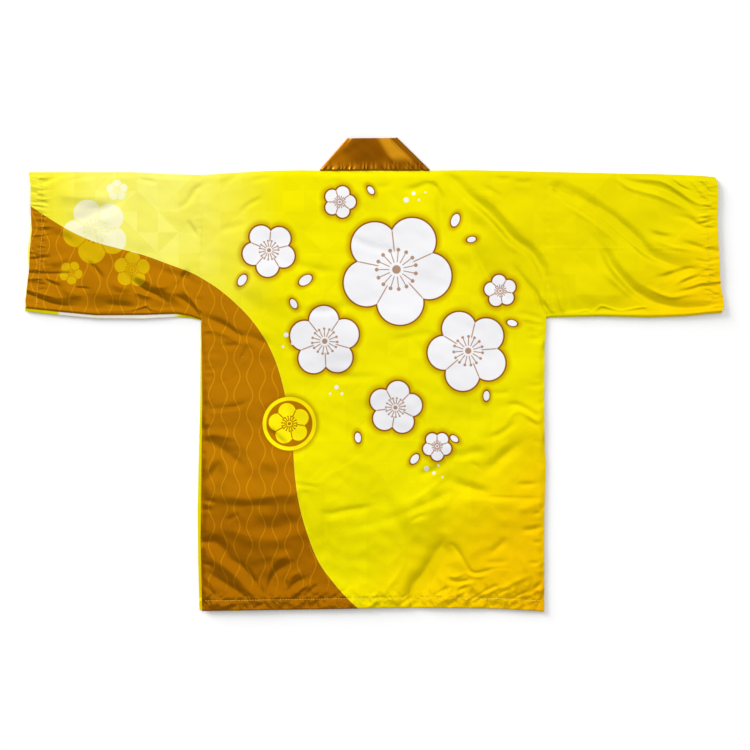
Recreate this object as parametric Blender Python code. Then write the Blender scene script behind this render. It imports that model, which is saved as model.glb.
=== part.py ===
"""Happi coat laid flat with its back up.

Thin walls of cloth, one solid for each piece that is cut and sewn: the back,
two fronts, two sleeves and the long collar band. The fronts, the under side of
the sleeves and the front lengths of the band lie on the floor, and the back and
the upper side of the sleeves lie on them.

Sizes below are in millimetres. X runs from the wearer's left cuff to the right
one, Y from the hem to the collar, and Z up from the floor. The origin is on the
floor in the middle of the coat.
"""

import bpy
import numpy as np

MM = 0.001
CLOTH = 1.0  # wall of a single layer
GAP = 0.3  # between pieces that are sewn together
BOW = 0.2  # how far the band seam bows between two rows of the front
SLACK = 0.6  # least air between the two layers
HEM = 19.0  # depth of the turned hem
CUFF = 20.0  # depth of the turned cuff
ARMHOLE_L, ARMHOLE_R = -322.5, 321.5
UNDERARM_L, UNDERARM_R = 101.7, 105.4
CENTRE = 1.5  # x of the centre front
NECK = 381.0  # y of the seam between back and collar
NECK_L, NECK_R = -100.0, 103.0  # x of the neck points
COLLAR_L, COLLAR_R = (-47.3, 441.0), (41.0, 442.0)  # upper corners of the collar
BAND = 2.0  # wall of the doubled collar band
SEAM_BACK = 9.0  # how far the shoulder seam lies behind the fold

# Outlines. Columns: place along the edge, place of the edge.
SHOULDER = (  # x, y
    (-645, 378), (-542, 378), (-452, 378), (-385, 374.5), (-322, 372.5),
    (-273, 376), (-205, 380), (-138, 381.5), (-100, 381), (103, 381),
    (176, 382), (265, 380), (355, 378), (445, 376), (534, 374.5), (612, 371.5),
    (634, 369), (645, 362),
)  # fmt: skip
HEM_EDGE = (  # x, y
    (-322, -442), (-205, -440), (-71, -438), (41, -435.5), (153, -436),
    (243, -438), (310, -442), (319, -443.5),
)  # fmt: skip
SIDE_BACK_L = ((-443, -321), (-309, -324), (-48, -321), (60, -322), (98, -323))  # y, x
SIDE_FRONT_L = (  # y, x
    (-443, -326.5), (-347, -329), (-257, -330), (-122, -327), (-48, -325), (98, -324),
)  # fmt: skip
SIDE_R = (  # y, x
    (-443, 318), (-272, 318), (-167, 321), (-141, 319), (-48, 318), (55, 319), (98, 322),
)  # fmt: skip
SLEEVE_EDGE_L = (  # x, y of the seam under the sleeve
    (-652, 124), (-586, 117), (-519, 110.7), (-431, 111.4), (-368, 113.5),
    (-344, 109.2), (-322, 101.9),
)  # fmt: skip
SLEEVE_EDGE_R = (  # x, y
    (321, 105.4), (332, 107.3), (422, 109.2), (516, 107.3), (579, 109.2),
    (624, 113.8), (655, 116.6),
)  # fmt: skip
PEEK_L = (  # x, how far the under side of the sleeve shows below its seam
    (-652, 5.5), (-586, 6.2), (-519, 6.2), (-431, 7.5), (-368, 6.2), (-344, 3.5), (-322, 0.8),
)  # fmt: skip
CUFF_L = (  # y, x, upper side
    (100, -647), (124, -649), (137, -651), (161.5, -648), (198, -644),
    (229, -643), (269, -639), (315, -641.5), (356, -641.5), (378, -645),
)  # fmt: skip
CUFF_UNDER_L = (  # y, x, under side
    (100, -650), (118, -651), (137, -652.5), (161, -650), (198, -645),
    (220, -648), (240, -647), (262, -643), (315, -640.5), (378, -644),
)  # fmt: skip
CUFF_R = (  # y, x
    (100, 648), (118, 650), (128, 654), (143, 652), (161, 648), (191, 646),
    (251, 643), (296, 641), (326, 643), (356, 642.5), (364, 639), (371, 632),
)  # fmt: skip
# The front band's two edges, as distances from the centre front.
BAND_SEAM_L = (  # y, distance
    (-442, 61.8), (-120, 62), (-60, 63), (0, 65.5), (60, 69.5), (120, 75),
    (200, 83), (300, 93), (381, 101.5),
)  # fmt: skip
BAND_SEAM_R = (  # y, distance
    (-442, 61.8), (-120, 63), (-60, 65), (0, 68.5), (60, 74), (120, 81),
    (200, 89), (300, 97), (381, 101.5),
)  # fmt: skip
BAND_FREE_L = (  # y, distance
    (-442, 1.5), (-120, 1.7), (-60, 2.7), (0, 5.2), (60, 9.2), (120, 14.7),
    (200, 22.7), (300, 32.8), (381, 41.4), (441, 48.8),
)  # fmt: skip
BAND_FREE_R = (  # y, distance
    (-442, 1.5), (-120, 2.7), (-60, 4.7), (0, 8.2), (60, 13.7), (120, 20.7),
    (200, 28.7), (300, 36.7), (381, 41), (442, 39.5),
)  # fmt: skip

# Heights of the band's sections below the neck, and how far each free edge lies above its seam edge.
SECTION_Y = (
    381, 368, 350, 328, 300, 262, 215, 160, 100, 40, -20, -80, -140, -200, -260, -320, -380, -432.0,
)  # fmt: skip
SECTION_SKEW = (60, 50, 37, 24, 14, 7, 6, 6, 5, 4, 2, 0, 0, 0, 0, 0, 0, 0)

# The largest creases of the upper layer. Width is the half width of the trough,
# lips are the ridges beside it as shares of its depth (left and right of its
# run), and start and end are its strength at its two ends.
CREASES = (
    # width, depth, lip_l, lip_r, start, end, points
    (17, 4.4, 0.8, 0.5, 0.7, 0.7, ((147, 380), (221, 302), (301, 223), (338, 158), (340, 113))),
    (17, 3.8, 0.7, 0.6, 0.2, 0.5, ((345, 354), (422, 318), (487, 270), (553, 214), (604, 193))),
    (17, 4.0, 0.7, 0.6, 0.1, 0.6, ((389, 279), (445, 209), (515, 148), (604, 125))),
    (16, 2.6, 0.6, 0.6, 0.7, 0.6, ((448, 374), (506, 346), (586, 316), (622, 298))),
    (15, 2.4, 0.5, 0.8, 0.1, 0.9, ((530, 256), (572, 256), (642, 228))),
    (15, 2.4, 0.8, 0.4, 0.1, 0.9, ((525, 172), (590, 180), (645, 196))),
    (16, 3.0, 0.7, 0.5, 0.0, 0.1, ((53, 346), (109, 354), (132, 280), (137, 195))),
    (16, 2.6, 0.9, 0.4, 0.1, 0.2, ((181, 246), (203, 204), (221, 158))),
    (15, 3.4, 0.9, 0.7, 0.1, 0.8, ((268, 190), (302, 150), (322, 108))),
    (17, 2.4, 0.5, 0.6, 0.2, 0.2, ((221, 372), (291, 352), (345, 310))),
    (17, 3.8, 0.6, 0.9, 0.9, 0.1, ((-321, 92), (-275, 77), (-205, 50))),
    (16, 2.6, 0.6, 0.6, 0.8, 0.1, ((-321, -63), (-285, -66), (-235, -58))),
    (16, 3.4, 0.6, 0.7, 0.9, 0.1, ((-321, -118), (-288, -124), (-250, -160))),
    (17, 3.8, 0.9, 0.5, 0.7, 0.4, ((-318, -236), (-228, -231), (-150, -226))),
    (16, 2.4, 0.6, 0.6, 0.4, 0.2, ((-150, -213), (-104, -210), (-70, -222))),
    (18, 3.4, 0.9, 0.5, 0.2, 0.1, ((-110, -252), (-20, -252), (52, -250), (131, -186))),
    (17, 3.8, 0.9, 0.5, 0.3, 0.7, ((138, -208), (186, -216), (232, -230), (316, -232))),
    (16, 3.0, 0.6, 0.8, 0.1, 0.3, ((140, -158), (177, -146), (214, -150))),
    (16, 3.2, 0.7, 0.7, 0.1, 0.6, ((206, -186), (255, -147), (310, -116))),
    (16, 3.2, 0.7, 0.7, 0.1, 0.7, ((206, -116), (258, -80), (316, -86))),
    (18, 4.6, 0.5, 0.9, 0.1, 0.5, ((131, -262), (124, -338), (85, -395), (42, -412))),
    (16, 3.6, 0.8, 0.6, 0.2, 0.3, ((144, -320), (170, -362), (216, -372), (268, -350))),
    (16, 3.2, 0.7, 0.7, 0.5, 0.6, ((150, -412), (215, -392), (272, -396), (318, -352))),
    (17, 3.6, 0.8, 0.6, 0.8, 0.6, ((-318, -334), (-275, -363), (-222, -415))),
    (16, 3.0, 0.7, 0.7, 0.1, 0.7, ((-155, -322), (-190, -356), (-208, -412))),
    (17, 3.2, 0.7, 0.6, 0.1, 0.5, ((-380, 308), (-330, 338), (-262, 370))),
    (18, 2.6, 0.6, 0.6, 0.1, 0.1, ((-540, 300), (-488, 321), (-440, 350))),
    (16, 3.4, 0.5, 0.9, 0.2, 0.1, ((-462, 190), (-432, 157), (-385, 140))),
    (15, 2.4, 0.7, 0.7, 0.9, 0.1, ((-648, 170), (-600, 150), (-548, 142))),
    (15, 2.0, 0.6, 0.6, 0.2, 0.2, ((-112, 372), (-106, 330), (-112, 292))),
)
# The broadest swells of the upper layer. Left and right are how far each reaches
# on the two sides of its run, and sharp is 0 for a round crest and 1 for a crisp one.
SWELLS = (
    # height, left, right, sharp, start, end, points
    (4.0, 120, 170, 0.6, 0.5, 0.5, ((-305, -224), (-250, -229), (-200, -229), (-132, -214))),
    (2.6, 70, 120, 0.6, 0.1, 0.1, ((34, -262), (80, -242), (126, -228))),
    (1.9, 62, 30, 0.4, 0.1, 0.2, ((-540, 146), (-470, 150), (-432, 147))),
    (2.0, 54, 30, 0.4, 0.2, 0.1, ((-412, 152), (-384, 153), (-346, 146))),
    (2.1, 110, 24, 0.4, 0.3, 0.1, ((-630, 148), (-590, 143), (-545, 147))),
    (1.8, 38, 30, 0.2, 0.1, 0.3, ((-222, -168), (-186, -162), (-146, -146))),
    (1.6, 80, 38, 0.3, 0.4, 0.1, ((345, 142), (390, 150), (480, 158))),
    (1.6, 34, 74, 0.4, 0.1, 0.2, ((140, -236), (200, -244), (262, -248))),
    (1.3, 78, 40, 0.4, 0.1, 0.4, ((180, -404), (240, -398), (310, -402))),
    (1.9, 60, 34, 0.4, 0.1, 0.1, ((-600, 336), (-540, 330), (-480, 338))),
    (1.7, 70, 50, 0.3, 0.1, 0.1, ((-250, 200), (-200, 150), (-120, 140))),
)
# Folds of the layer that lies on the floor, raised off it.
UNDER_FOLDS = (
    # width, height, start, end, points
    (17, 2.4, 0.1, 0.1, ((-292, 42), (-210, 4), (-118, -34))),
    (17, 2.2, 0.1, 0.1, ((290, -20), (222, -84), (112, -120))),
    (17, 2.4, 0.1, 0.1, ((270, 322), (212, 262), (150, 212))),
    (17, 2.2, 0.1, 0.1, ((-280, 330), (-222, 262), (-168, 226))),
    (17, 2.4, 0.1, 0.1, ((392, 330), (470, 262), (560, 210))),
    (17, 2.2, 0.1, 0.1, ((-392, 330), (-470, 270), (-560, 226))),
)


def at(table, place):
    """The edge's place, read from its outline table."""
    rows = sorted(table)
    return np.interp(place, [row[0] for row in rows], [row[1] for row in rows])


def step(amount):
    """0 to 1, eased at both ends."""
    amount = np.clip(amount, 0.0, 1.0)
    return amount * amount * (3.0 - 2.0 * amount)


def run_of(points, parts=5):
    """A smooth run through a crease's points."""
    p = np.array([points[0], *points, points[-1]], float)
    run = [p[1]]
    for k in range(1, len(p) - 2):
        for t in np.arange(1, parts + 1) / parts:
            run.append(
                0.5
                * (
                    2 * p[k]
                    + (p[k + 1] - p[k - 1]) * t
                    + (2 * p[k - 1] - 5 * p[k] + 4 * p[k + 1] - p[k + 2]) * t**2
                    + (3 * p[k] - p[k - 1] - 3 * p[k + 1] + p[k + 2]) * t**3
                )
            )
    return np.array(run)


def beside(x, y, points):
    """Distance to a crease's run, positive on its left, and the share of the run there."""
    run = run_of(points)
    near = np.full(x.shape, 1e9)
    side = np.zeros(x.shape)
    share = np.zeros(x.shape)
    for k, (a, b) in enumerate(zip(run[:-1], run[1:])):
        d = b - a
        t = np.clip(((x - a[0]) * d[0] + (y - a[1]) * d[1]) / (d @ d), 0, 1)
        away = np.hypot(x - a[0] - t * d[0], y - a[1] - t * d[1])
        closer = away < near
        near = np.where(closer, away, near)
        turn = d[0] * (y - a[1]) - d[1] * (x - a[0])
        side = np.where(closer, np.where(turn < 0, -1.0, 1.0), side)
        share = np.where(closer, (k + t) / (len(run) - 1), share)
    return near * side, share


def bell(offset, width):
    return np.clip(1.0 - (offset / (2.0 * width)) ** 2, 0.0, None) ** 2


def crest(offset, left, right, sharp):
    """A rise with its own reach on each side of its run."""
    share = np.clip(np.abs(offset) / np.where(offset > 0, left, right), 0.0, 1.0)
    return (1.0 - sharp) * (1.0 - share**2) ** 2 + sharp * (1.0 - share) ** 2


def strength(share, start, end):
    return (start + (1 - start) * step(share / 0.35)) * (
        end + (1 - end) * step((1 - share) / 0.35)
    )


def under(x, y):
    """How far the lowest layer is raised off the floor."""
    total = np.zeros(x.shape)
    for width, height, start, end, points in UNDER_FOLDS:
        offset, share = beside(x, y, points)
        total = np.maximum(total, height * bell(offset, width) * strength(share, start, end))
    return total


def inset(x, y):
    """Distance from the nearest folded or seamed edge of the coat."""
    left, right = x < ARMHOLE_L, x > ARMHOLE_R
    low = np.where(left, at(SLEEVE_EDGE_L, x), at(SLEEVE_EDGE_R, x))
    in_sleeve = y - low
    from_l = np.hypot(x - at(SIDE_BACK_L, y), np.clip(y - UNDERARM_L, 0, None))
    from_r = np.hypot(at(SIDE_R, y) - x, np.clip(y - UNDERARM_R, 0, None))
    side = np.where(left | right, in_sleeve, np.minimum(from_l, from_r))
    return np.clip(np.minimum(side, at(SHOULDER, x) - y), 0, None)


def hem_zone(x, y):
    """1 over the turned hem and cuffs, easing to 0 above them."""
    hem = y - at(HEM_EDGE, x)
    cuff = np.where(x < 0, x - at(CUFF_L, y), at(CUFF_R, y) - x)
    return 1.0 - step((np.minimum(hem + 400 * (y > 90), cuff) - 22.0) / 16.0)


def band_zone(x, y):
    """1 over the front bands, 0 over the fronts, and -1 where neither is below."""
    away = np.abs(x - CENTRE)
    seam = np.where(x < CENTRE, at(BAND_SEAM_L, y), at(BAND_SEAM_R, y))
    free = np.where(x < CENTRE, at(BAND_FREE_L, y), at(BAND_FREE_R, y))
    outside = 1.0 - step((away - seam - 2.0) / 18.0)
    inside = 1.0 - 2.0 * step((free - away - 2.0) / 34.0)
    return np.where(away > free, outside, inside)


def lift(x, y):
    """How far the upper layer stands up from the layer below it."""
    edge = 1.0 - np.exp(-((inset(x, y) / 12.0) ** 2))
    # rolled edges stand up, but the seam round the neck lies flat
    rim = 0.5 * step(np.hypot(np.clip(np.abs(x - CENTRE) - 101.5, 0, None), NECK - y) / 30.0)
    puff = 3.4 + 0.7 * np.sin(x / 61.0 + 0.7) * np.cos(y / 83.0) + 0.5 * np.sin(y / 47.0 + x / 120.0)
    total = np.zeros(x.shape)
    for height, left, right, sharp, start, end, points in SWELLS:
        offset, share = beside(x, y, points)
        total = total + height * crest(offset, left, right, sharp) * strength(share, start, end)
    for width, depth, lip_l, lip_r, start, end, points in CREASES:
        offset, share = beside(x, y, points)
        lip = np.where(offset > 0, lip_l, lip_r) * bell(np.abs(offset) - 2.0 * width, 0.85 * width)
        total = total + 1.3 * depth * (lip - bell(offset, 0.8 * width)) * strength(share, start, end)
    total = puff * (rim + (1.0 - rim) * edge) + total * edge
    return 0.5 * (total + np.sqrt(total**2 + 0.3)) - 0.2


def top(x, y):
    """The upper face of the upper layer."""
    hem = hem_zone(x, y)
    below = np.maximum(band_zone(x, y), hem)
    return 2 * CLOTH + SLACK + below + hem + under(x, y) + lift(x, y)


def wall(name, outer, inner, cells, colour, roughness, ring=False):
    """One closed wall between two grids of points. Cells says which of the grid's cells there are."""
    rows, cols = outer.shape[:2]
    if ring:
        cols -= 1
    count = rows * outer.shape[1]

    def number(i, j, layer):
        return layer * count + i * outer.shape[1] + (j % cols if ring else j)

    faces = []
    edges = set()
    for i in range(rows - 1):
        for j in range(outer.shape[1] - 1):
            if not cells[i, j]:
                continue
            k = j + 1
            corners = [(i, j), (i, k), (i + 1, k), (i + 1, j)]
            across = np.linalg.norm(outer[i, j] - outer[i + 1, k])
            other = np.linalg.norm(outer[i, k] - outer[i + 1, j])
            split = ((0, 1, 2), (0, 2, 3)) if across <= other else ((0, 1, 3), (1, 2, 3))
            for triple in split:
                ids = [number(*corners[c], 0) for c in triple]
                faces.append(ids)
                faces.append([n + count for n in reversed(ids)])
            ids = [number(*c, 0) for c in corners]
            for a, b in zip(ids, ids[1:] + ids[:1]):
                edges.add((a, b))
    for a, b in edges:
        if (b, a) not in edges:
            faces.append([b, a, a + count])
            faces.append([b, a + count, b + count])
    points = np.concatenate([outer.reshape(-1, 3), inner.reshape(-1, 3)]) * MM
    used = sorted({n for face in faces for n in face})
    new = {old: k for k, old in enumerate(used)}
    faces = [[new[n] for n in face] for face in faces]
    points = points[used]
    a, b, c = (points[[face[k] for face in faces]] for k in range(3))
    if np.einsum("ij,ij->i", a, np.cross(b, c)).sum() < 0:
        faces = [face[::-1] for face in faces]
    mesh = bpy.data.meshes.new(name)
    mesh.from_pydata(points.tolist(), [], faces)
    mesh.shade_smooth()
    mesh.set_sharp_from_angle(angle=0.9)
    material = bpy.data.materials.new(name + "_cloth")
    material.use_nodes = True
    shader = material.node_tree.nodes["Principled BSDF"]
    shader.inputs["Base Color"].default_value = (*colour, 1.0)
    shader.inputs["Roughness"].default_value = roughness
    shader.inputs["Metallic"].default_value = 0.0
    mesh.materials.append(material)
    made = bpy.data.objects.new(name, mesh)
    bpy.context.scene.collection.objects.link(made)
    return made


def fold_arc(edge, high, thick, angle, away=1.0):
    """Outer and inner (y, z) round a fold whose outermost line is at edge."""
    reach = 0.5 * high
    outer = (edge - away * reach + away * reach * np.sin(angle), 0.5 * high * (1 + np.cos(angle)))
    r = 0.5 * high - thick
    inner = (edge - away * reach + away * r * np.sin(angle), 0.5 * high + r * np.cos(angle))
    return outer, inner


def make_back():
    """One panel: hem, body, and a roll over each shoulder to the seam on the front side."""
    left = np.linspace(0, 1, 13)
    middle = np.linspace(0, 1, 12)[1:-1]
    edge_x_l, edge_x_r = ARMHOLE_L + GAP / 2, ARMHOLE_R - GAP / 2
    neck_l, neck_r = NECK_L - 2 * GAP, NECK_R + 2 * GAP

    def columns(y_side, strip=0.0):
        at_l = at(SIDE_BACK_L, y_side) if y_side < 100 else edge_x_l
        at_r = at(SIDE_R, y_side) if y_side < 100 else edge_x_r
        at_l, at_r = max(at_l, -330), min(at_r, 330)
        n_l, n_r = neck_l + 0.1 * strip, neck_r - 0.1 * strip
        return np.concatenate(
            [at_l + left * (n_l - at_l), n_l + middle * (n_r - n_l), n_r + left * (at_r - n_r)]
        )

    low = [0.0, 0.6, HEM - 1.2, HEM - 0.2]
    outer, inner = [], []
    x0 = columns(-443)

    def add(x, y, z_top, thick):
        outer.append(np.stack([x, y, z_top], 1))
        inner.append(np.stack([x, y, z_top - thick], 1))

    for k, up in enumerate(low):
        x = columns(-443 + up)
        y = at(HEM_EDGE, x) + up
        add(x, y, top(x, y), 2 * CLOTH if k < 3 else CLOTH)
    split_y = 100.5
    body_rows, upper_rows = 31, 16
    for k in range(1, body_rows + 1):
        f = k / body_rows
        x = columns(-443 + low[-1] + f * (split_y + 0.01 - (-443 + low[-1])))
        y = (at(HEM_EDGE, x) + low[-1]) * (1 - f) + split_y * f
        add(x, y, top(x, y), CLOTH)
    last = None
    for k in range(1, upper_rows + 1):
        f = k / upper_rows
        x = columns(300)
        in_neck = (x > neck_l + 0.01) & (x < neck_r - 0.01)
        fold_high = top(x, at(SHOULDER, x) - 1.3)
        end = np.where(in_neck, NECK - GAP, at(SHOULDER, x) - 0.5 * fold_high)
        y = split_y * (1 - f) + end * f
        add(x, y, top(x, y) if k < upper_rows else np.where(in_neck, top(x, y), fold_high), CLOTH)
        last = x, end, fold_high
    x, end, high = last
    for angle in np.radians([45, 90, 135, 180]):
        strip = 0.0
        (yo, zo), (yi, zi) = fold_arc(at(SHOULDER, x), high, CLOTH, angle)
        outer.append(np.stack([x, yo, zo], 1))
        inner.append(np.stack([x, yi, zi], 1))
    x = columns(300, SEAM_BACK)
    y = at(SHOULDER, x) - 0.5 * high - SEAM_BACK
    outer.append(np.stack([x, y, 0 * y], 1))
    inner.append(np.stack([x, y, 0 * y + CLOTH], 1))
    outer, inner = np.array(outer), np.array(inner)
    cells = np.ones((outer.shape[0] - 1, outer.shape[1] - 1), bool)
    first_arc = len(low) + body_rows + upper_rows - 1
    cells[first_arc:, 12:23] = False
    return wall("back", outer, inner, cells, (0.87, 0.80, 0.01), 0.42)


def make_front(name, sign, seam_table, colour):
    """A front panel on the floor, from the side seam to the band and from hem to shoulder seam."""
    low = [0.0, 0.6, HEM - 1.2, HEM - 0.2]
    across = np.linspace(0, 1, 9)
    split_y = 100.5

    def side(y):
        if y > 100:
            return ARMHOLE_L + GAP / 2 if sign < 0 else ARMHOLE_R - GAP / 2
        return at(SIDE_FRONT_L, y) if sign < 0 else at(SIDE_R, y) - 1.0

    def row(y_side):
        outer_x = side(y_side)
        seam = at(list(zip(SECTION_Y, at(seam_table, SECTION_Y))), y_side)
        inner_x = CENTRE + sign * (seam + BOW + GAP)
        return outer_x + across * (inner_x - outer_x)

    def hem_y(x):
        peek = 3.4 * bell(x + 255, 16) if sign < 0 else 0.0
        return at(HEM_EDGE, x) + 1.8 - peek

    rows = []
    for k, up in enumerate(low):
        x = row(-441 + up)
        rows.append((x, hem_y(x) + up, 2 * CLOTH if k < 3 else CLOTH))
    for k in range(1, 15):
        f = k / 14
        x = row(-441 + low[-1] + f * (split_y + 0.01 + 441 - low[-1]))
        rows.append((x, (hem_y(x) + low[-1]) * (1 - f) + split_y * f, CLOTH))
    for k in range(1, 8):
        f = k / 7
        x = row(max(split_y + 0.01, split_y + f * (369 - split_y)))
        fold_high = top(x, at(SHOULDER, x) - 1.3)
        end = at(SHOULDER, x) - 0.5 * fold_high - SEAM_BACK - GAP
        rows.append((x, split_y * (1 - f) + end * f, CLOTH))
    outer, inner = [], []
    for x, y, thick in rows:
        z = np.maximum(under(x, y) - SLACK, 0.0)  # clear of the creases above
        outer.append(np.stack([x, y, z], 1))
        inner.append(np.stack([x, y, z + thick], 1))
    outer, inner = np.array(outer), np.array(inner)
    cells = np.ones((outer.shape[0] - 1, outer.shape[1] - 1), bool)
    return wall(name, outer, inner, cells, colour, 0.42)


def make_sleeve(name, sign, colour):
    """A tube of rings from the armhole to the cuff, pressed flat, with its seam below."""
    armhole = ARMHOLE_L - GAP / 2 if sign < 0 else ARMHOLE_R + GAP / 2
    cuff_up = CUFF_L if sign < 0 else CUFF_R
    cuff_under = CUFF_UNDER_L if sign < 0 else CUFF_R
    edge = SLEEVE_EDGE_L if sign < 0 else SLEEVE_EDGE_R
    length = 322.0
    shares = [k / 16 * (1 - 24 / length) for k in range(17)]
    shares += [1 - (CUFF + 0.5) / length, 1 - (CUFF - 0.5) / length, 1 - 10 / length, 1 - 0.6 / length, 1.0]
    n_up, n_low = 19, 8
    outer, inner = [], []
    for share in shares:
        thick = 2 * CLOTH if share > 1 - CUFF / length else CLOTH
        middle = armhole + share * sign * length

        def place(y, table):
            return armhole + share * (at(table, y) - armhole)

        x_top = place(350.0 if sign < 0 else 366.0, cuff_up)
        y_top = at(SHOULDER, x_top)
        x_low = place(118.0, cuff_up)
        y_low = at(edge, x_low)
        peek = at(PEEK_L, x_low) if sign < 0 else 0.8
        high_top = float(top(np.array([x_top]), np.array([y_top - 1.3]))[0])
        high_low = float(top(np.array([x_low]), np.array([y_low + 1.3]))[0])
        room = high_low - 2 * thick
        o, n = [], []
        # upper side, from the seam below to the fold at the top
        start, end = y_low + 4.0, y_top - 0.5 * high_top
        for k in range(n_up + 1):
            y = start + (end - start) * k / n_up
            x = place(y, cuff_up)
            z = float(top(np.array([x]), np.array([y]))[0])
            if k == 0:
                z = high_low
            if k == n_up:
                z = high_top
            o.append((x, y, z))
            n.append((x, y, z - thick))
        for angle in np.radians([45, 90, 135]):
            (yo, zo), (yi, zi) = fold_arc(y_top, high_top, thick, angle)
            mix = step(angle / np.pi)
            x = place(end, cuff_up) * (1 - mix) + place(end, cuff_under) * mix
            o.append((x, yo, zo))
            n.append((x, yi, zi))
        # under side, back down to the seam
        low_start, low_end = end, y_low + 3.0
        for k in range(n_low + 1):
            y = low_start + (low_end - low_start) * k / n_low
            x = place(y, cuff_under)
            z = float(under(np.array([x]), np.array([y]))[0])
            o.append((x, y, z))
            n.append((x, y, z + thick))
        # round the seam, with the lip of the under side that shows below it
        x = place(y_low, cuff_under)
        x_up = place(y_low, cuff_up)
        edge_low = y_low - peek
        outer_seam = (
            (edge_low + 0.7, 0.0, x), (edge_low, 0.7, x),
            (edge_low + 0.35 * peek, 1.35, x), (y_low - 0.1 * peek, 0.35 * high_low + 0.75, x_up),
            (y_low + 0.6, high_low - 0.7, x_up), (y_low + 1.8, high_low - 0.2, x_up),
        )  # fmt: skip
        inner_seam = (
            (y_low + 2.4, thick + 0.04 * room), (y_low + 2.0, thick + 0.2 * room),
            (y_low + 1.8, thick + 0.4 * room), (y_low + 1.8, thick + 0.6 * room),
            (y_low + 2.1, thick + 0.8 * room), (y_low + 2.9, thick + 0.96 * room),
        )  # fmt: skip
        for (yo, zo, xo), (yi, zi) in zip(outer_seam, inner_seam):
            o.append((xo, yo, zo))
            n.append((xo, yi, zi))
        o.append(o[0])
        n.append(n[0])
        outer.append(o)
        inner.append(n)
    outer, inner = np.array(outer, float), np.array(inner, float)
    cells = np.ones((outer.shape[0] - 1, outer.shape[1] - 1), bool)
    return wall(name, outer, inner, cells, colour, 0.42, ring=True)


def make_collar():
    """The doubled band, in sections from its seam edge to its folded free edge."""
    across = (0.0, 0.05, 0.14, 0.34, 0.66, 0.97, 1.0)
    half = (1.0, 1.0, 1.0, 1.0, 1.0, 1.0, 0.5)
    axis = BAND + SLACK / 2  # height of the roll's axis
    middle = SLACK / 2 + BAND / 2  # from the axis to the middle of the wall
    sections = []  # seam point, free point, outward direction, raise at the seam, raise of all
    down = (0.0, 0.0, -1.0)
    up = (0.0, 0.0, 1.0)

    def low_sections(sign, seam, free):
        made = []
        for y, more in zip(SECTION_Y, SECTION_SKEW):
            s = (CENTRE + sign * at(seam, y), y)
            f = (CENTRE + sign * at(free, y + more), y + more)
            made.append((s, f, down, 0.0, 0.0))
        return made

    def roll(neck, corner, sign):
        run = np.array(corner) - np.array(neck)
        run /= np.linalg.norm(run)
        out = np.array([run[1], -run[0]]) * (1 if sign > 0 else -1)
        return [
            (neck, corner, (out[0] * np.sin(a), out[1] * np.sin(a), np.cos(a)), 0.0, 0.0)
            for a in np.radians([45, 90, 135])
        ]

    neck_l, neck_r = (NECK_L, NECK), (NECK_R, NECK)
    sections += low_sections(-1, BAND_SEAM_L, BAND_FREE_L)[::-1]
    sections += roll(neck_l, COLLAR_L, -1)[::-1]
    gathers = 20
    for k in range(2 * gathers + 1):
        f = k / (2 * gathers)
        s = (NECK_L + f * (NECK_R - NECK_L), NECK)
        c = tuple(np.array(COLLAR_L) * (1 - f) + np.array(COLLAR_R) * f)
        ridge = (0.75 + 0.45 * np.sin(2.7 * k)) if k % 2 else 0.0
        sag = -1.5 * step(1.0 - abs(f - 0.5) / 0.26)
        sections.append((s, c, up, ridge, sag))
    sections += roll(neck_r, COLLAR_R, 1)
    sections += low_sections(1, BAND_SEAM_R, BAND_FREE_R)
    outer, inner = [], []
    for s, f, way, ridge, sag in sections:
        s, f, way = np.array([*s, axis]), np.array([*f, axis]), np.array(way)
        o, n = [], []
        for share, thick in zip(across, half):
            spot = s + share * (f - s)
            more = np.array([0, 0, ridge * (1 - step(share / 0.34)) + sag])
            puffed = np.array([0, 0, 0.5 * np.sin(np.pi * share)]) if way[2] == 1 else 0.0
            o.append(spot + way * (middle + thick) + more + puffed)
            n.append(spot + way * (middle - thick) + more + puffed)
        outer.append(o)
        inner.append(n)
    outer, inner = np.array(outer), np.array(inner)
    cells = np.ones((outer.shape[0] - 1, outer.shape[1] - 1), bool)
    return wall("collar", outer, inner, cells, (0.36, 0.17, 0.01), 0.34)


def main():
    for old in list(bpy.data.objects):
        bpy.data.objects.remove(old, do_unlink=True)
    yellow = (0.87, 0.80, 0.01)
    coat = bpy.data.objects.new("coat", None)
    bpy.context.scene.collection.objects.link(coat)
    pieces = [
        make_back(),
        make_front("front_left", -1, BAND_SEAM_L, yellow),
        make_front("front_right", 1, BAND_SEAM_R, yellow),
        make_sleeve("sleeve_left", -1, yellow),
        make_sleeve("sleeve_right", 1, yellow),
        make_collar(),
    ]
    for piece in pieces:
        piece.parent = coat


main()
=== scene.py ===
"""Happi coat laid flat with its back up, seen from straight above.

Lengths in the tables are in millimetres, in the part's own frame: X towards the
wearer's right cuff, Y from the hem to the collar, Z up from the floor.
"""

import bpy
import numpy as np
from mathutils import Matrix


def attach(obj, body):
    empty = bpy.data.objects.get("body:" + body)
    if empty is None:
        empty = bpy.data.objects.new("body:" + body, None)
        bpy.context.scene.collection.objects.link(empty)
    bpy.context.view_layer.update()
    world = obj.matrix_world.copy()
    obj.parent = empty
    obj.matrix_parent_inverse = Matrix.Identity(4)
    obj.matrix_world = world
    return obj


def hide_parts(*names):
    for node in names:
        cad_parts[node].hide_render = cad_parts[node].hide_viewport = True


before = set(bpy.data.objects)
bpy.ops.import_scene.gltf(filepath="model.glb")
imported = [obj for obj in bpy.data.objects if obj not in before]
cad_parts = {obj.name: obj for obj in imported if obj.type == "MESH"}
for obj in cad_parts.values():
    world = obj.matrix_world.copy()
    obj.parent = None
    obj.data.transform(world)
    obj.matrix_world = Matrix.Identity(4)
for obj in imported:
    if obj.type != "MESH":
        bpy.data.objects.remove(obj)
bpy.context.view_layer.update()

MM = 0.001
THIN = 0.6  # wall of a layer
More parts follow.
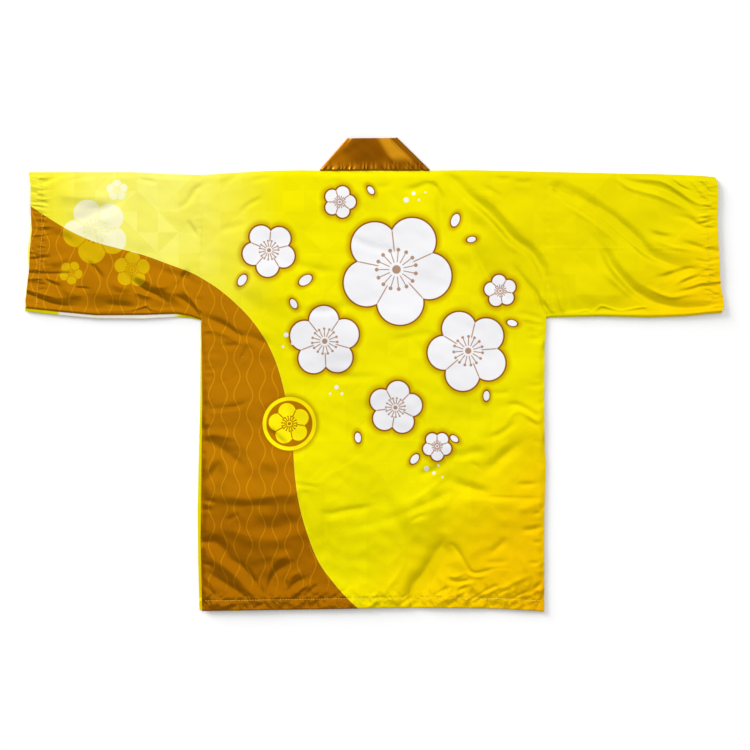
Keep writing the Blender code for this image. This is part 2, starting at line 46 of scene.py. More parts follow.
GAP = 0.3  # left beside the neck seam, the band's seam and the shoulder seam
SEAM = 0.08  # between sewn pieces at an armhole
SLACK = 0.6  # between the upper and under sides of the collar
HEM = 19.0  # depth of the turned hem
CUFF = 20.0  # depth of the turned cuff
ARMHOLE_L, ARMHOLE_R = -322.5, 321.5  # x
UNDERARM_L, UNDERARM_R = 101.7, 105.4  # y
CENTRE = 1.5  # x of the centre front
NECK = 381.0  # y of the neck seam
NECK_L, NECK_R = -100.0, 103.0  # x of its ends
COLLAR_L, COLLAR_R = (-47.3, 441.0), (41.0, 442.0)  # corners of the collar's free edge
BAND = 2.0  # thickness of the doubled band
SEAM_BACK = 9.0  # from the shoulder's fold to its seam on the front side
DEPTH = 1.4  # multiplies the heights of the folds below
RIDGE_SHARP = 0.8  # of the ridges along the sleeves' lower seams
LYING, STANDING = 2.1, 2.9  # the upper face, where it rests on the layer below and where it doesn't
BESIDE = 1.3  # how far inside a folded edge its height is read
HEM_BACK, HEM_FRONT = -443, -441  # y at which the rows of the back and the fronts begin
SET_IN = 1.8  # how far the fronts' hem lies inside the back's
ARM_ROWS = 100  # y from which a row ends at the armholes, and not at the side seams
SPLIT = 100.5  # y of the row where the two meet
UPPER = 300  # y of any row above it
JUST = 0.01  # just past a limit

# Outlines. Columns: place along the edge, place of the edge.
SHOULDER = (  # x, y
    (-645, 378), (-542, 378), (-452, 378), (-385, 374.5), (-322, 372.5),
    (-273, 376), (-205, 380), (-138, 381.5), (-100, 381), (103, 381),
    (176, 382), (265, 380), (355, 378), (445, 376), (534, 374.5), (612, 371.5),
    (634, 369), (645, 362),
)  # fmt: skip
HEM_EDGE = (  # x, y
    (-322, -442), (-205, -440), (-71, -438), (41, -435.5), (153, -436),
    (243, -438), (310, -442), (319, -443.5),
)  # fmt: skip
SIDE_BACK_L = ((-443, -321), (-309, -324), (-48, -321), (60, -322), (98, -323))  # y, x
SIDE_FRONT_L = (  # y, x
    (-443, -326.5), (-347, -329), (-257, -330), (-122, -327), (-48, -325), (98, -324),
)  # fmt: skip
SIDE_R = (  # y, x
    (-443, 318), (-272, 318), (-167, 321), (-141, 319), (-48, 318), (55, 319), (98, 322),
)  # fmt: skip
SLEEVE_EDGE_L = (  # x, y of the seam under the sleeve
    (-652, 124), (-586, 117), (-519, 110.7), (-431, 111.4), (-368, 113.5),
    (-344, 109.2), (-322, 101.9),
)  # fmt: skip
SLEEVE_EDGE_R = (  # x, y
    (321, 105.4), (332, 107.3), (422, 109.2), (516, 107.3), (579, 109.2),
    (624, 113.8), (655, 116.6),
)  # fmt: skip
PEEK_L = (  # x, how far the under side of the sleeve shows below its seam
    (-652, 5.5), (-586, 6.2), (-519, 6.2), (-431, 7.5), (-368, 6.2), (-344, 3.5), (-322, 0.8),
)  # fmt: skip
CUFF_L = (  # y, x, upper side
    (100, -647), (124, -649), (137, -651), (161.5, -648), (198, -644),
    (229, -643), (269, -639), (315, -641.5), (356, -641.5), (378, -645),
)  # fmt: skip
CUFF_UNDER_L = (  # y, x, under side
    (100, -650), (118, -651), (137, -652.5), (161, -650), (198, -645),
    (220, -648), (240, -647), (262, -643), (315, -640.5), (378, -644),
)  # fmt: skip
CUFF_R = (  # y, x
    (100, 648), (118, 650), (128, 654), (143, 652), (161, 648), (191, 646),
    (251, 643), (296, 641), (326, 643), (356, 642.5), (364, 639), (371, 632),
)  # fmt: skip
BAND_SEAM_L = (  # y, distance from the centre front
    (-442, 61.8), (-120, 62), (-60, 63), (0, 65.5), (60, 69.5), (120, 75),
    (200, 83), (300, 93), (381, 101.5),
)  # fmt: skip
BAND_SEAM_R = (  # y, distance
    (-442, 61.8), (-120, 63), (-60, 65), (0, 68.5), (60, 74), (120, 81),
    (200, 89), (300, 97), (381, 101.5),
)  # fmt: skip
BAND_FREE_L = (  # y, distance
    (-442, 1.5), (-120, 1.7), (-60, 2.7), (0, 5.2), (60, 9.2), (120, 14.7),
    (200, 22.7), (300, 32.8), (381, 41.4), (441, 48.8),
)  # fmt: skip
BAND_FREE_R = (  # y, distance
    (-442, 1.5), (-120, 2.7), (-60, 4.7), (0, 8.2), (60, 13.7), (120, 20.7),
    (200, 28.7), (300, 36.7), (381, 41), (442, 39.5),
)  # fmt: skip

# Rows of the band below the neck. Columns: y, how much higher its free edge lies.
BAND_ROWS = (
    (381, 60), (368, 50), (350, 37), (328, 24), (300, 14), (262, 7), (215, 6), (160, 6), (100, 5),
    (40, 4), (-20, 2), (-80, 0), (-140, 0), (-200, 0), (-260, 0), (-320, 0), (-380, 0), (-439.4, 0),
)  # fmt: skip

# Folds of the upper layer, each along its run. Height is up for a ridge and down for
# a trough, and DEPTH multiplies it. Left and right are how far it reaches on each side
# of its run, and sharp is 0 for a round crest and 1 for a crisp one. Start and end are
# its strength at its two ends.
FOLDS = (
    # height, left, right, sharp, start, end, points
    # shoulder and right half above the underarm
    (-2.6, 20, 12, 0.3, 0.6, 0.2, ((138, 376), (150, 362), (166, 345), (181, 330), (196, 318), (211, 304),
        (228, 287), (243, 269), (258, 252), (276, 239), (291, 228), (302, 214), (311, 198), (318, 181),
        (326, 163), (332, 144), (336, 124))),
    (0.9, 12, 17, 0.2, 0.1, 0.1, ((150, 350), (165, 328), (190, 306), (215, 286), (238, 262), (258, 244),
        (285, 228), (302, 208), (314, 182))),
    (0.6, 10, 14, 0.2, 0.1, 0.1, ((196, 350), (222, 326), (245, 300), (268, 278), (292, 262))),
    (-0.9, 6, 5, 0.5, 0.2, 0.1, ((203, 352), (222, 341), (241, 328))),
    (0.5, 5, 7, 0.4, 0.1, 0.1, ((198, 346), (225, 331), (248, 316))),
    (-1.7, 44, 12, 1.0, 0.1, 0.3, ((180, 250), (192, 222), (204, 196), (218, 172), (240, 148))),
    (-1.2, 14, 14, 0.2, 0.6, 0.1, ((113, 352), (123, 336), (124, 315), (126, 290), (127, 260), (131, 230),
        (134, 205))),
    (-1.1, 9, 11, 0.3, 0.1, 0.8, ((48, 345), (75, 347), (100, 356), (114, 351))),
    (-0.7, 6, 6, 0.4, 0.1, 0.1, ((127, 236), (134, 216), (136, 198))),
    (0.5, 6, 6, 0.4, 0.2, 0.1, ((110, 364), (125, 347), (136, 330))),
    (-0.9, 5, 5, 0.6, 0.7, 0.1, ((116, 382), (124, 373), (135, 366))),
    (-0.7, 5, 5, 0.5, 0.3, 0.2, ((86, 377), (98, 370), (112, 367))),
    (-0.6, 5, 5, 0.5, 0.5, 0.1, ((66, 380), (74, 374), (84, 371))),
    (-1.0, 6, 9, 0.3, 0.2, 0.3, ((221, 371), (240, 366), (258, 368))),
    (-0.8, 5, 7, 0.3, 0.2, 0.2, ((262, 362), (278, 359), (297, 361))),
    (-0.6, 4, 4, 0.6, 0.6, 0.1, ((214, 379), (216, 368), (223, 357))),
    (-0.5, 14, 12, 0.1, 0.1, 0.1, ((168, 292), (185, 281), (200, 270), (210, 254))),
    (-0.4, 16, 16, 0.1, 0.1, 0.1, ((250, 345), (275, 336), (300, 330))),
    (0.35, 8, 8, 0.3, 0.1, 0.1, ((150, 300), (160, 282), (168, 262))),
    (-0.45, 16, 12, 0.1, 0.1, 0.1, ((152, 215), (172, 200), (186, 184))),
    (-1.2, 8, 8, 0.4, 0.1, 0.5, ((256, 208), (275, 183), (290, 165), (303, 147))),
    (-1.5, 5, 5, 0.7, 0.2, 0.9, ((300, 165), (304, 150), (307, 135), (313, 122), (321, 108))),
    (0.9, 7, 6, 0.4, 0.1, 0.6, ((308, 156), (320, 136), (333, 116))),
    (-0.9, 5, 5, 0.5, 0.1, 0.8, ((315, 140), (324, 124), (331, 110))),
    (-0.6, 6, 6, 0.5, 0.1, 0.8, ((262, 116), (292, 110), (319, 102))),
    (0.5, 5, 5, 0.4, 0.1, 0.5, ((270, 106), (296, 101), (318, 94))),
    (-0.6, 5, 5, 0.5, 0.1, 0.5, ((276, 98), (298, 94), (318, 90))),
    (-0.7, 6, 5, 0.4, 0.1, 0.4, ((282, 68), (300, 66), (317, 70))),
    (-0.4, 5, 5, 0.4, 0.1, 0.5, ((286, 84), (302, 81), (318, 82))),
    # broad swells
    (3.4, 120, 170, 0.6, 0.5, 0.5, ((-305, -224), (-250, -229), (-200, -229), (-150, -222),
        (-132, -214))),
    (0.9, 80, 50, 0.4, 0.4, 0.2, ((-315, -58), (-240, -50), (-185, -56))),
    (1.3, 38, 26, 0.2, 0.1, 0.3, ((-222, -168), (-186, -162), (-146, -146))),
    (1.4, 62, 26, 0.4, 0.1, 0.2, ((-540, 146), (-510, 149), (-470, 150), (-432, 147))),
    (1.5, 54, 28, 0.4, 0.2, 0.1, ((-412, 152), (-384, 153), (-346, 146))),
    (0.8, 24, 62, 0.7, 0.2, 0.2, ((-312, -282), (-250, -296), (-190, -306), (-140, -300))),
    (0.7, 20, 60, 0.7, 0.1, 0.2, ((-240, -356), (-190, -340), (-120, -352))),
    (1.3, 46, 13, 0.7, 0.1, 0.1, ((-446, 168), (-412, 160), (-376, 168))),
    (1.6, 110, 20, 0.4, 0.3, 0.1, ((-630, 148), (-590, 143), (-545, 147))),
    (2.2, 70, 120, 0.7, 0.1, 0.1, ((34, -262), (80, -242), (126, -228))),
    (-0.8, 13, 13, 0.2, 0.2, 0.1, ((-92, -250), (-90, -300), (-86, -348))),
    (0.9, 78, 36, 0.4, 0.1, 0.4, ((180, -404), (240, -398), (310, -402))),
    (1.2, 20, 74, 0.6, 0.1, 0.2, ((140, -236), (200, -244), (262, -248))),
    (1.4, 60, 24, 0.4, 0.1, 0.1, ((-600, 336), (-540, 330), (-480, 338))),
    (1.2, 70, 40, 0.3, 0.1, 0.1, ((-250, 200), (-200, 150), (-120, 140))),
    # pressed line across, from the folding
    (0.14, 3.5, 6, 1.0, 0.2, 0.2, ((189, 237), (330, 237), (470, 236), (618, 235))),
    # right sleeve
    (-3.4, 25, 14, 0.4, 0.6, 0.3, ((345, 344), (385, 326), (415, 306), (440, 289), (464, 268), (488, 248),
        (506, 230), (526, 217), (555, 206), (580, 199))),
    (0.8, 8, 8, 0.5, 0.1, 0.1, ((350, 347), (375, 331), (408, 310), (438, 289), (470, 264), (490, 247),
        (508, 229))),
    (-0.7, 7, 7, 0.4, 0.1, 0.1, ((362, 320), (400, 296), (428, 276), (448, 258), (468, 242))),
    (0.6, 7, 9, 0.4, 0.1, 0.1, ((335, 328), (372, 308), (405, 288), (432, 268), (452, 250), (470, 232))),
    (-2.5, 19, 14, 0.4, 0.1, 0.5, ((382, 280), (404, 262), (422, 243), (433, 226), (441, 208), (453, 190),
        (467, 174), (482, 160), (497, 149), (514, 139), (536, 131), (566, 125), (600, 122),
        (620, 123))),
    (0.8, 8, 7, 0.5, 0.1, 0.2, ((506, 168), (520, 158), (536, 150), (556, 144), (580, 148), (604, 151))),
    (0.8, 20, 12, 0.1, 0.1, 0.1, ((420, 202), (445, 179), (468, 160), (486, 146))),
    (1.1, 80, 34, 0.3, 0.4, 0.1, ((345, 142), (390, 150), (440, 147), (480, 158))),
    (-0.6, 10, 8, 0.2, 0.1, 0.2, ((348, 205), (356, 172), (362, 140), (364, 120))),
    (0.7, 6, 6, 0.3, 0.1, 0.6, ((343, 158), (349, 132), (356, 113))),
    (0.9, 8, 10, 0.6, 0.9, 0.2, ((450, 379), (459, 364), (476, 350), (500, 342), (530, 334), (558, 322),
        (580, 311), (603, 298))),
    (-1.4, 14, 8, 0.2, 0.4, 0.2, ((460, 368), (490, 358), (520, 352), (545, 344), (566, 333), (586, 318),
        (601, 305))),
    (0.8, 7, 7, 0.6, 0.2, 0.4, ((495, 366), (530, 363), (550, 355), (568, 343), (588, 329), (605, 320),
        (626, 317))),
    (-1.1, 5, 6, 0.5, 0.9, 0.2, ((552, 375), (558, 362), (574, 350), (593, 342))),
    (0.7, 5, 5, 0.5, 0.3, 0.4, ((562, 373), (586, 370), (598, 356), (610, 341), (624, 326))),
    (-0.7, 6, 6, 0.3, 0.3, 0.3, ((600, 367), (615, 352), (629, 338))),
    (-0.9, 9, 12, 0.2, 0.1, 0.3, ((517, 265), (536, 259), (558, 256))),
    (0.7, 6, 9, 0.4, 0.1, 0.2, ((515, 263), (530, 250), (552, 240), (576, 235), (602, 230))),
    (-0.9, 9, 8, 0.3, 0.1, 0.8, ((570, 248), (596, 241), (618, 234), (646, 229))),
    (-0.6, 6, 6, 0.3, 0.2, 0.7, ((597, 215), (614, 211), (628, 212), (646, 214))),
    (-1.2, 11, 8, 0.3, 0.1, 0.6, ((556, 297), (586, 291), (602, 281), (616, 274), (634, 273))),
    (-1.3, 8, 14, 0.3, 0.1, 0.2, ((522, 180), (545, 184), (562, 190), (586, 196), (606, 198))),
    (0.6, 6, 6, 0.3, 0.1, 0.3, ((560, 167), (574, 176), (588, 183), (606, 190))),
    (-0.6, 6, 6, 0.3, 0.1, 0.3, ((572, 170), (588, 176), (608, 184))),
    (0.6, 6, 7, 0.3, 0.1, 0.7, ((574, 157), (594, 164), (612, 170), (648, 174))),
    (-0.8, 6, 8, 0.3, 0.1, 0.7, ((564, 153), (588, 159), (614, 166), (651, 170))),
    # left sleeve and shoulder
    (-1.0, 10, 9, 0.2, 0.3, 0.2, ((-628, 354), (-604, 365), (-584, 373))),
    (-0.9, 10, 9, 0.2, 0.1, 0.2, ((-574, 361), (-550, 368), (-522, 371))),
    (-0.9, 22, 18, 0.2, 0.1, 0.1, ((-588, 276), (-550, 290), (-512, 304), (-482, 318), (-450, 341))),
    (-1.0, 11, 9, 0.3, 0.1, 0.3, ((-372, 308), (-352, 318), (-341, 332), (-330, 348), (-306, 360))),
    (-0.7, 12, 10, 0.2, 0.1, 0.2, ((-452, 371), (-424, 363), (-404, 360))),
    (-0.7, 8, 8, 0.2, 0.1, 0.1, ((-350, 290), (-340, 272), (-330, 256))),
    (-0.6, 9, 8, 0.3, 0.1, 0.4, ((-292, 352), (-268, 366), (-250, 374))),
    (-0.7, 7, 8, 0.3, 0.2, 0.3, ((-232, 360), (-212, 366), (-190, 369))),
    (-0.9, 7, 7, 0.2, 0.1, 0.1, ((-252, 300), (-232, 318), (-206, 330))),
    (-0.6, 12, 12, 0.1, 0.1, 0.1, ((-300, 262), (-262, 276), (-226, 282))),
    (-0.9, 5, 6, 0.6, 0.9, 0.1, ((-648, 190), (-620, 188), (-592, 188), (-556, 189))),
    (0.8, 6, 8, 0.3, 0.6, 0.1, ((-646, 180), (-612, 178), (-578, 172))),
    (-0.9, 4, 5, 0.6, 0.1, 0.1, ((-621, 183), (-604, 172), (-588, 164))),
    (-1.5, 6, 8, 0.4, 1.0, 0.2, ((-650, 152), (-626, 142), (-602, 133), (-574, 127))),
    (0.8, 6, 5, 0.4, 0.7, 0.1, ((-646, 158), (-620, 150), (-596, 144))),
    (-0.9, 16, 18, 0.2, 0.3, 0.2, ((-622, 262), (-600, 262), (-576, 254), (-556, 240))),
    (0.9, 12, 14, 0.2, 0.2, 0.1, ((-604, 206), (-584, 214), (-562, 220))),
    (-0.9, 4, 5, 0.6, 0.1, 0.1, ((-560, 162), (-548, 161), (-530, 160))),
    (0.8, 16, 14, 0.2, 0.1, 0.1, ((-585, 160), (-562, 152), (-540, 146))),
    (-0.8, 12, 10, 0.2, 0.1, 0.1, ((-504, 132), (-478, 128), (-446, 126))),
    (0.9, 12, 14, 0.2, 0.1, 0.1, ((-492, 172), (-470, 163), (-452, 158))),
    (-2.0, 16, 8, 0.6, 0.2, 0.2, ((-460, 180), (-441, 166), (-426, 157), (-404, 147), (-390, 137))),
    (1.0, 4, 10, 0.7, 0.1, 0.1, ((-446, 156), (-432, 149), (-414, 145))),
    (0.8, 14, 12, 0.2, 0.1, 0.1, ((-448, 186), (-430, 178), (-412, 172))),
    (-0.9, 14, 12, 0.2, 0.1, 0.2, ((-410, 200), (-386, 188), (-352, 180), (-334, 168))),
    (-0.9, 9, 8, 0.3, 0.1, 0.6, ((-372, 150), (-348, 132), (-326, 108))),
    (0.7, 7, 6, 0.3, 0.1, 0.5, ((-362, 162), (-342, 142), (-325, 120))),
    (-0.8, 7, 7, 0.3, 0.2, 0.1, ((-646, 214), (-626, 216), (-600, 222))),
    (-0.8, 8, 8, 0.2, 0.1, 0.1, ((-540, 214), (-520, 196), (-504, 176))),
    (-1.5, 11, 11, 0.3, 0.1, 0.1, ((-372, 160), (-360, 172), (-352, 186), (-344, 196))),
    # across the upper back
    (-0.6, 10, 10, 0.2, 0.3, 0.1, ((-110, 374), (-107, 342), (-103, 305))),
    (-0.5, 8, 8, 0.3, 0.3, 0.1, ((-98, 352), (-78, 357), (-52, 364))),
    (-0.5, 10, 10, 0.2, 0.1, 0.1, ((-30, 352), (6, 348), (40, 356))),
    (-0.7, 14, 12, 0.2, 0.1, 0.1, ((-170, 214), (-120, 196), (-62, 190))),
    (-0.6, 14, 14, 0.2, 0.1, 0.1, ((-58, 262), (0, 236), (52, 226))),
    (-0.7, 16, 12, 0.2, 0.1, 0.1, ((-150, 120), (-90, 118), (-30, 132))),
    (-0.5, 12, 12, 0.2, 0.1, 0.1, ((28, 60), (90, 74), (150, 66))),
    (-0.5, 12, 12, 0.2, 0.1, 0.1, ((-110, 10), (-44, -6), (26, -2))),
    # left half of the back
    (-1.9, 11, 14, 0.7, 0.5, 0.4, ((-312, 105), (-292, 97), (-275, 88), (-258, 76), (-244, 67),
        (-237, 59))),
    (-1.5, 26, 9, 0.5, 0.1, 0.1, ((-252, 83), (-230, 67), (-208, 57), (-192, 52))),
    (0.8, 6, 11, 0.3, 0.6, 0.1, ((-321, 88), (-290, 81), (-265, 73), (-241, 60), (-224, 61), (-203, 54))),
    (-0.9, 7, 7, 0.3, 0.1, 0.1, ((-284, 55), (-268, 53), (-252, 56))),
    (-1.0, 4.5, 4.5, 0.7, 0.4, 0.1, ((-237, 57), (-240, 44), (-246, 32), (-253, 19))),
    (-0.8, 4.5, 4.5, 0.5, 0.9, 0.1, ((-320, 75), (-312, 74), (-303, 75))),
    (-0.7, 4.5, 5, 0.5, 0.8, 0.1, ((-320, 36), (-302, 38), (-284, 36))),
    (-0.7, 5, 5, 0.4, 0.9, 0.1, ((-320, 10), (-306, 8), (-296, 9))),
    (-0.8, 5, 5, 0.4, 0.9, 0.1, ((-321, -4), (-308, -4), (-297, -5))),
    (-0.5, 4.5, 4.5, 0.6, 0.2, 0.1, ((-292, -21), (-283, -14), (-272, -10))),
    (-0.5, 4.5, 4.5, 0.6, 0.1, 0.1, ((-268, -12), (-260, -4), (-253, 3))),
    (-0.8, 17, 4.5, 0.8, 0.9, 0.1, ((-320, -66), (-295, -66), (-270, -64), (-250, -60), (-235, -52),
        (-218, -43))),
    (-0.6, 4.5, 4.5, 0.5, 0.9, 0.1, ((-320, -76), (-312, -74), (-304, -77))),
    (0.9, 19, 10, 0.6, 0.8, 0.1, ((-322, -118), (-300, -113), (-278, -116), (-254, -122))),
    (-1.6, 18, 30, 0.3, 0.9, 0.1, ((-321, -130), (-303, -131), (-286, -139), (-268, -153), (-250, -167),
        (-236, -180))),
    (-0.5, 12, 13, 0.2, 0.1, 0.1, ((-272, -137), (-251, -146), (-234, -160))),
    (-0.9, 12, 12, 0.2, 0.1, 0.1, ((-205, -100), (-180, -120), (-160, -140))),
    (-1.7, 16, 22, 0.2, 0.8, 0.1, ((-320, -208), (-305, -192), (-291, -172), (-286, -156))),
    (0.9, 35, 22, 0.4, 0.5, 0.6, ((-294, -222), (-275, -227), (-250, -230), (-225, -230), (-200, -228),
        (-175, -225), (-148, -221))),
    (-0.7, 9, 22, 0.3, 0.2, 0.1, ((-290, -240), (-250, -244), (-215, -243), (-184, -238))),
    (-1.5, 5, 5, 0.5, 1.0, 0.1, ((-321, -237), (-308, -237), (-294, -239))),
    (-0.9, 4.5, 5, 0.5, 1.0, 0.1, ((-321, -253), (-313, -252), (-304, -254))),
    (-1.3, 28, 24, 0.2, 0.1, 0.5, ((-232, -292), (-194, -289), (-166, -284), (-138, -272))),
    (-0.7, 8, 8, 0.3, 0.1, 0.1, ((-276, -276), (-262, -266), (-252, -260))),
    (-1.3, 17, 15, 0.2, 1.0, 0.1, ((-321, -315), (-302, -312), (-286, -322), (-270, -340))),
    (1.6, 20, 18, 0.2, 0.5, 0.6, ((-320, -340), (-300, -345), (-276, -362), (-255, -379), (-236, -399),
        (-223, -416))),
    (-1.1, 11, 12, 0.3, 0.4, 0.5, ((-310, -368), (-286, -386), (-262, -401), (-240, -414))),
    (0.7, 5, 5, 0.4, 0.6, 0.2, ((-320, -378), (-306, -388), (-298, -400))),
    (-1.0, 11, 9, 0.3, 0.1, 0.5, ((-276, -343), (-252, -355), (-236, -372), (-223, -390), (-210, -408))),
    (-0.9, 5, 5, 0.5, 1.0, 0.1, ((-321, -352), (-312, -354), (-302, -360))),
    (-0.9, 5, 5, 0.5, 1.0, 0.1, ((-320, -392), (-308, -402), (-296, -414))),
    (0.8, 9, 13, 0.3, 0.1, 0.3, ((-148, -330), (-172, -342), (-190, -358), (-200, -380), (-205, -404))),
    (-1.1, 12, 10, 0.3, 0.2, 0.6, ((-146, -347), (-168, -358), (-184, -372), (-193, -390), (-199, -411))),
    (0.9, 8, 8, 0.3, 0.1, 0.2, ((-136, -367), (-155, -378), (-163, -394))),
    (-1.0, 8, 8, 0.3, 0.2, 0.5, ((-126, -379), (-146, -390), (-160, -405))),
    (1.2, 6, 7, 0.4, 0.5, 0.2, ((-150, -413), (-138, -401), (-122, -391))),
    (-1.0, 6, 6, 0.3, 0.2, 0.6, ((-104, -392), (-116, -402), (-126, -415))),
    (-0.7, 7, 4.5, 0.8, 0.6, 0.1, ((-150, -206), (-125, -208), (-100, -213))),
    # middle and right half of the back
    (-0.8, 9, 15, 0.5, 0.2, 0.1, ((-102, -256), (-80, -260), (-55, -254), (-20, -249), (14, -243))),
    (-0.35, 13, 14, 0.2, 0.1, 0.1, ((-64, -282), (-30, -285), (0, -280), (25, -272), (50, -259),
        (76, -245))),
    (-1.2, 17, 15, 0.3, 0.2, 0.2, ((50, -264), (75, -250), (95, -242), (109, -236), (130, -226),
        (151, -214))),
    (0.45, 6, 7, 0.6, 0.1, 0.1, ((56, -240), (84, -228), (107, -213), (122, -200), (143, -183))),
    (-0.7, 7, 7, 0.3, 0.1, 0.1, ((66, -276), (84, -266), (98, -262))),
    (-0.8, 11, 11, 0.2, 0.1, 0.1, ((84, -186), (105, -182), (130, -170))),
    (-1.5, 17, 12, 0.3, 0.3, 0.1, ((140, -199), (166, -209), (194, -217), (226, -223))),
    (-0.7, 5, 4, 1.0, 0.2, 0.8, ((196, -229), (232, -231), (270, -231), (318, -233))),
    (0.6, 7, 11, 0.3, 0.1, 0.1, ((148, -229), (200, -234), (252, -239))),
    (-1.0, 17, 13, 0.2, 0.1, 0.1, ((140, -147), (165, -152), (190, -146), (214, -150))),
    (-1.5, 18, 20, 0.3, 0.3, 0.1, ((206, -190), (224, -170), (244, -152), (262, -137), (284, -122))),
    (-0.5, 5, 5, 0.5, 0.1, 0.1, ((178, -164), (190, -170), (203, -180))),
    (-1.0, 11, 9, 0.3, 0.1, 0.1, ((203, -119), (225, -116), (242, -108), (256, -97), (270, -86))),
    (0.8, 6, 7, 0.6, 0.1, 0.2, ((244, -96), (256, -77), (270, -68), (285, -74), (300, -85), (314, -90))),
    (-1.1, 10, 6, 0.4, 0.1, 0.5, ((242, -61), (265, -57), (286, -67), (312, -82))),
    (-0.8, 5, 8, 0.3, 0.1, 0.6, ((284, -81), (300, -92), (317, -98))),
    (-0.5, 7, 7, 0.2, 0.1, 0.1, ((216, -34), (236, -36), (256, -32))),
    (-0.6, 5, 5, 0.4, 0.1, 0.6, ((286, -20), (302, -22), (318, -18))),
    (-0.9, 7, 7, 0.3, 0.1, 0.4, ((266, -205), (285, -206), (304, -204))),
    (0.9, 14, 15, 0.2, 0.1, 0.3, ((268, -252), (288, -247), (308, -240))),
    (-1.3, 9, 9, 0.3, 0.1, 0.8, ((276, -291), (295, -290), (317, -283))),
    (-0.8, 5, 6, 0.4, 0.1, 1.0, ((296, -262), (308, -258), (318, -252))),
    (-1.0, 6, 6, 0.4, 0.1, 1.0, ((296, -312), (307, -314), (318, -310))),
    (-0.8, 11, 11, 0.2, 0.1, 0.1, ((212, -338), (234, -321), (251, -303))),
    (-4.0, 54, 32, 0.9, 0.1, 0.9, ((130, -292), (128, -312), (125, -328), (119, -344), (108, -364),
        (96, -381), (84, -395), (76, -412))),
    (-1.3, 16, 26, 0.5, 0.2, 0.9, ((116, -342), (110, -361), (98, -378), (85, -394), (70, -412))),
    (-1.0, 24, 34, 0.3, 0.1, 0.3, ((128, -246), (129, -270), (129, -300))),
    (0.5, 8, 9, 0.3, 0.1, 0.4, ((60, -340), (52, -362), (36, -386), (16, -410))),
    (-1.2, 5, 6, 0.8, 0.1, 0.2, ((134, -328), (143, -317), (151, -322), (160, -335), (172, -355),
        (181, -368), (191, -371), (206, -368), (230, -361), (254, -361))),
    (0.6, 5, 6, 0.5, 0.1, 0.1, ((166, -368), (190, -378), (216, -374))),
    (-0.6, 10, 10, 0.2, 0.1, 0.1, ((204, -352), (228, -352), (252, -350))),
    (-1.1, 6, 8, 0.5, 0.3, 0.1, ((138, -382), (152, -387), (168, -386), (182, -383))),
    (0.9, 5, 5, 0.5, 0.1, 0.1, ((140, -376), (152, -378), (170, -372))),
    (-1.0, 6, 7, 0.6, 0.6, 0.1, ((112, -414), (128, -404), (140, -396))),
    (-1.0, 7, 7, 0.6, 0.5, 0.1, ((152, -412), (162, -402), (176, -396))),
    (0.8, 6, 7, 0.6, 0.2, 0.1, ((156, -400), (170, -392), (188, -388))),
    (-0.8, 5, 5, 0.5, 0.3, 0.1, ((198, -412), (214, -401), (232, -393))),
    (0.7, 5, 5, 0.5, 0.3, 0.1, ((206, -416), (222, -404), (240, -396))),
    (-0.8, 5, 5, 0.5, 0.5, 0.1, ((226, -418), (240, -406), (250, -400))),
    (-1.1, 6, 6, 0.6, 0.6, 0.3, ((262, -418), (276, -410), (288, -406))),
    (-1.7, 7, 6, 0.5, 0.4, 1.0, ((298, -404), (310, -392), (319, -383))),
    (0.6, 5, 5, 0.5, 0.1, 0.1, ((270, -334), (284, -360), (296, -386))),
    (0.8, 8, 8, 0.2, 0.1, 0.3, ((236, -404), (262, -388), (290, -376))),
    (-0.9, 6, 6, 0.4, 0.1, 0.9, ((288, -352), (304, -352), (318, -346))),
)  # fmt: skip
# The seam under each sleeve, where the layers roll over it, as a low crisp ridge.
SEAM_RIDGES = (
    # height, left, right, points
    (1.1, 4, 3.5, ((323, 109), (340, 112), (360, 113), (385, 117), (398, 119), (405, 114), (415, 121),
        (425, 128), (440, 124), (460, 119), (480, 122), (505, 126), (512, 120), (518, 114), (540, 112),
        (570, 115), (600, 116), (612, 113), (622, 119), (635, 126), (653, 128))),
    (1.9, 5, 4, ((-652, 129), (-620, 122), (-590, 120), (-556, 117), (-530, 114), (-505, 117),
        (-480, 118), (-460, 119), (-445, 122), (-430, 127), (-424, 129), (-418, 122), (-400, 118),
        (-375, 119), (-350, 114), (-336, 108), (-324, 103))),
)  # fmt: skip
# Folds of the layer that lies on the floor, raised off it.
UNDER_FOLDS = (
    # height, points
    (1.1, ((-292, 42), (-210, 4), (-118, -34))),
    (0.9, ((290, -20), (222, -84), (112, -120))),
    (1.1, ((270, 322), (212, 262), (150, 212))),
    (0.9, ((-280, 330), (-222, 262), (-168, 226))),
    (1.1, ((392, 330), (470, 262), (560, 210))),
    (0.9, ((-392, 330), (-470, 270), (-560, 226))),
)
UNDER_WIDTH, UNDER_ENDS = 17, 0.1  # their width, and their strength at both ends


# ---------------------------------------------------------------- the cloth's form
def at(table, place):
    """The edge's place, read from its outline table."""
    rows = sorted(table)
    return np.interp(place, [row[0] for row in rows], [row[1] for row in rows])


def step(amount):
    """0 to 1, eased at both ends."""
    amount = np.clip(amount, 0.0, 1.0)
    return amount * amount * (3.0 - 2.0 * amount)


def run_of(points):
    """A smooth run through a crease's points, in four parts from each to the next."""
    parts = 4
    p = np.array([points[0], *points, points[-1]], float)
    run = [p[1]]
    for k in range(1, len(p) - 2):
        for t in np.arange(1, parts + 1) / parts:
            run.append(
                0.5
                * (
                    2 * p[k]
                    + (p[k + 1] - p[k - 1]) * t
                    + (2 * p[k - 1] - 5 * p[k] + 4 * p[k + 1] - p[k + 2]) * t**2
                    + (3 * p[k] - p[k - 1] - 3 * p[k + 1] + p[k + 2]) * t**3
                )
            )
    return np.array(run)


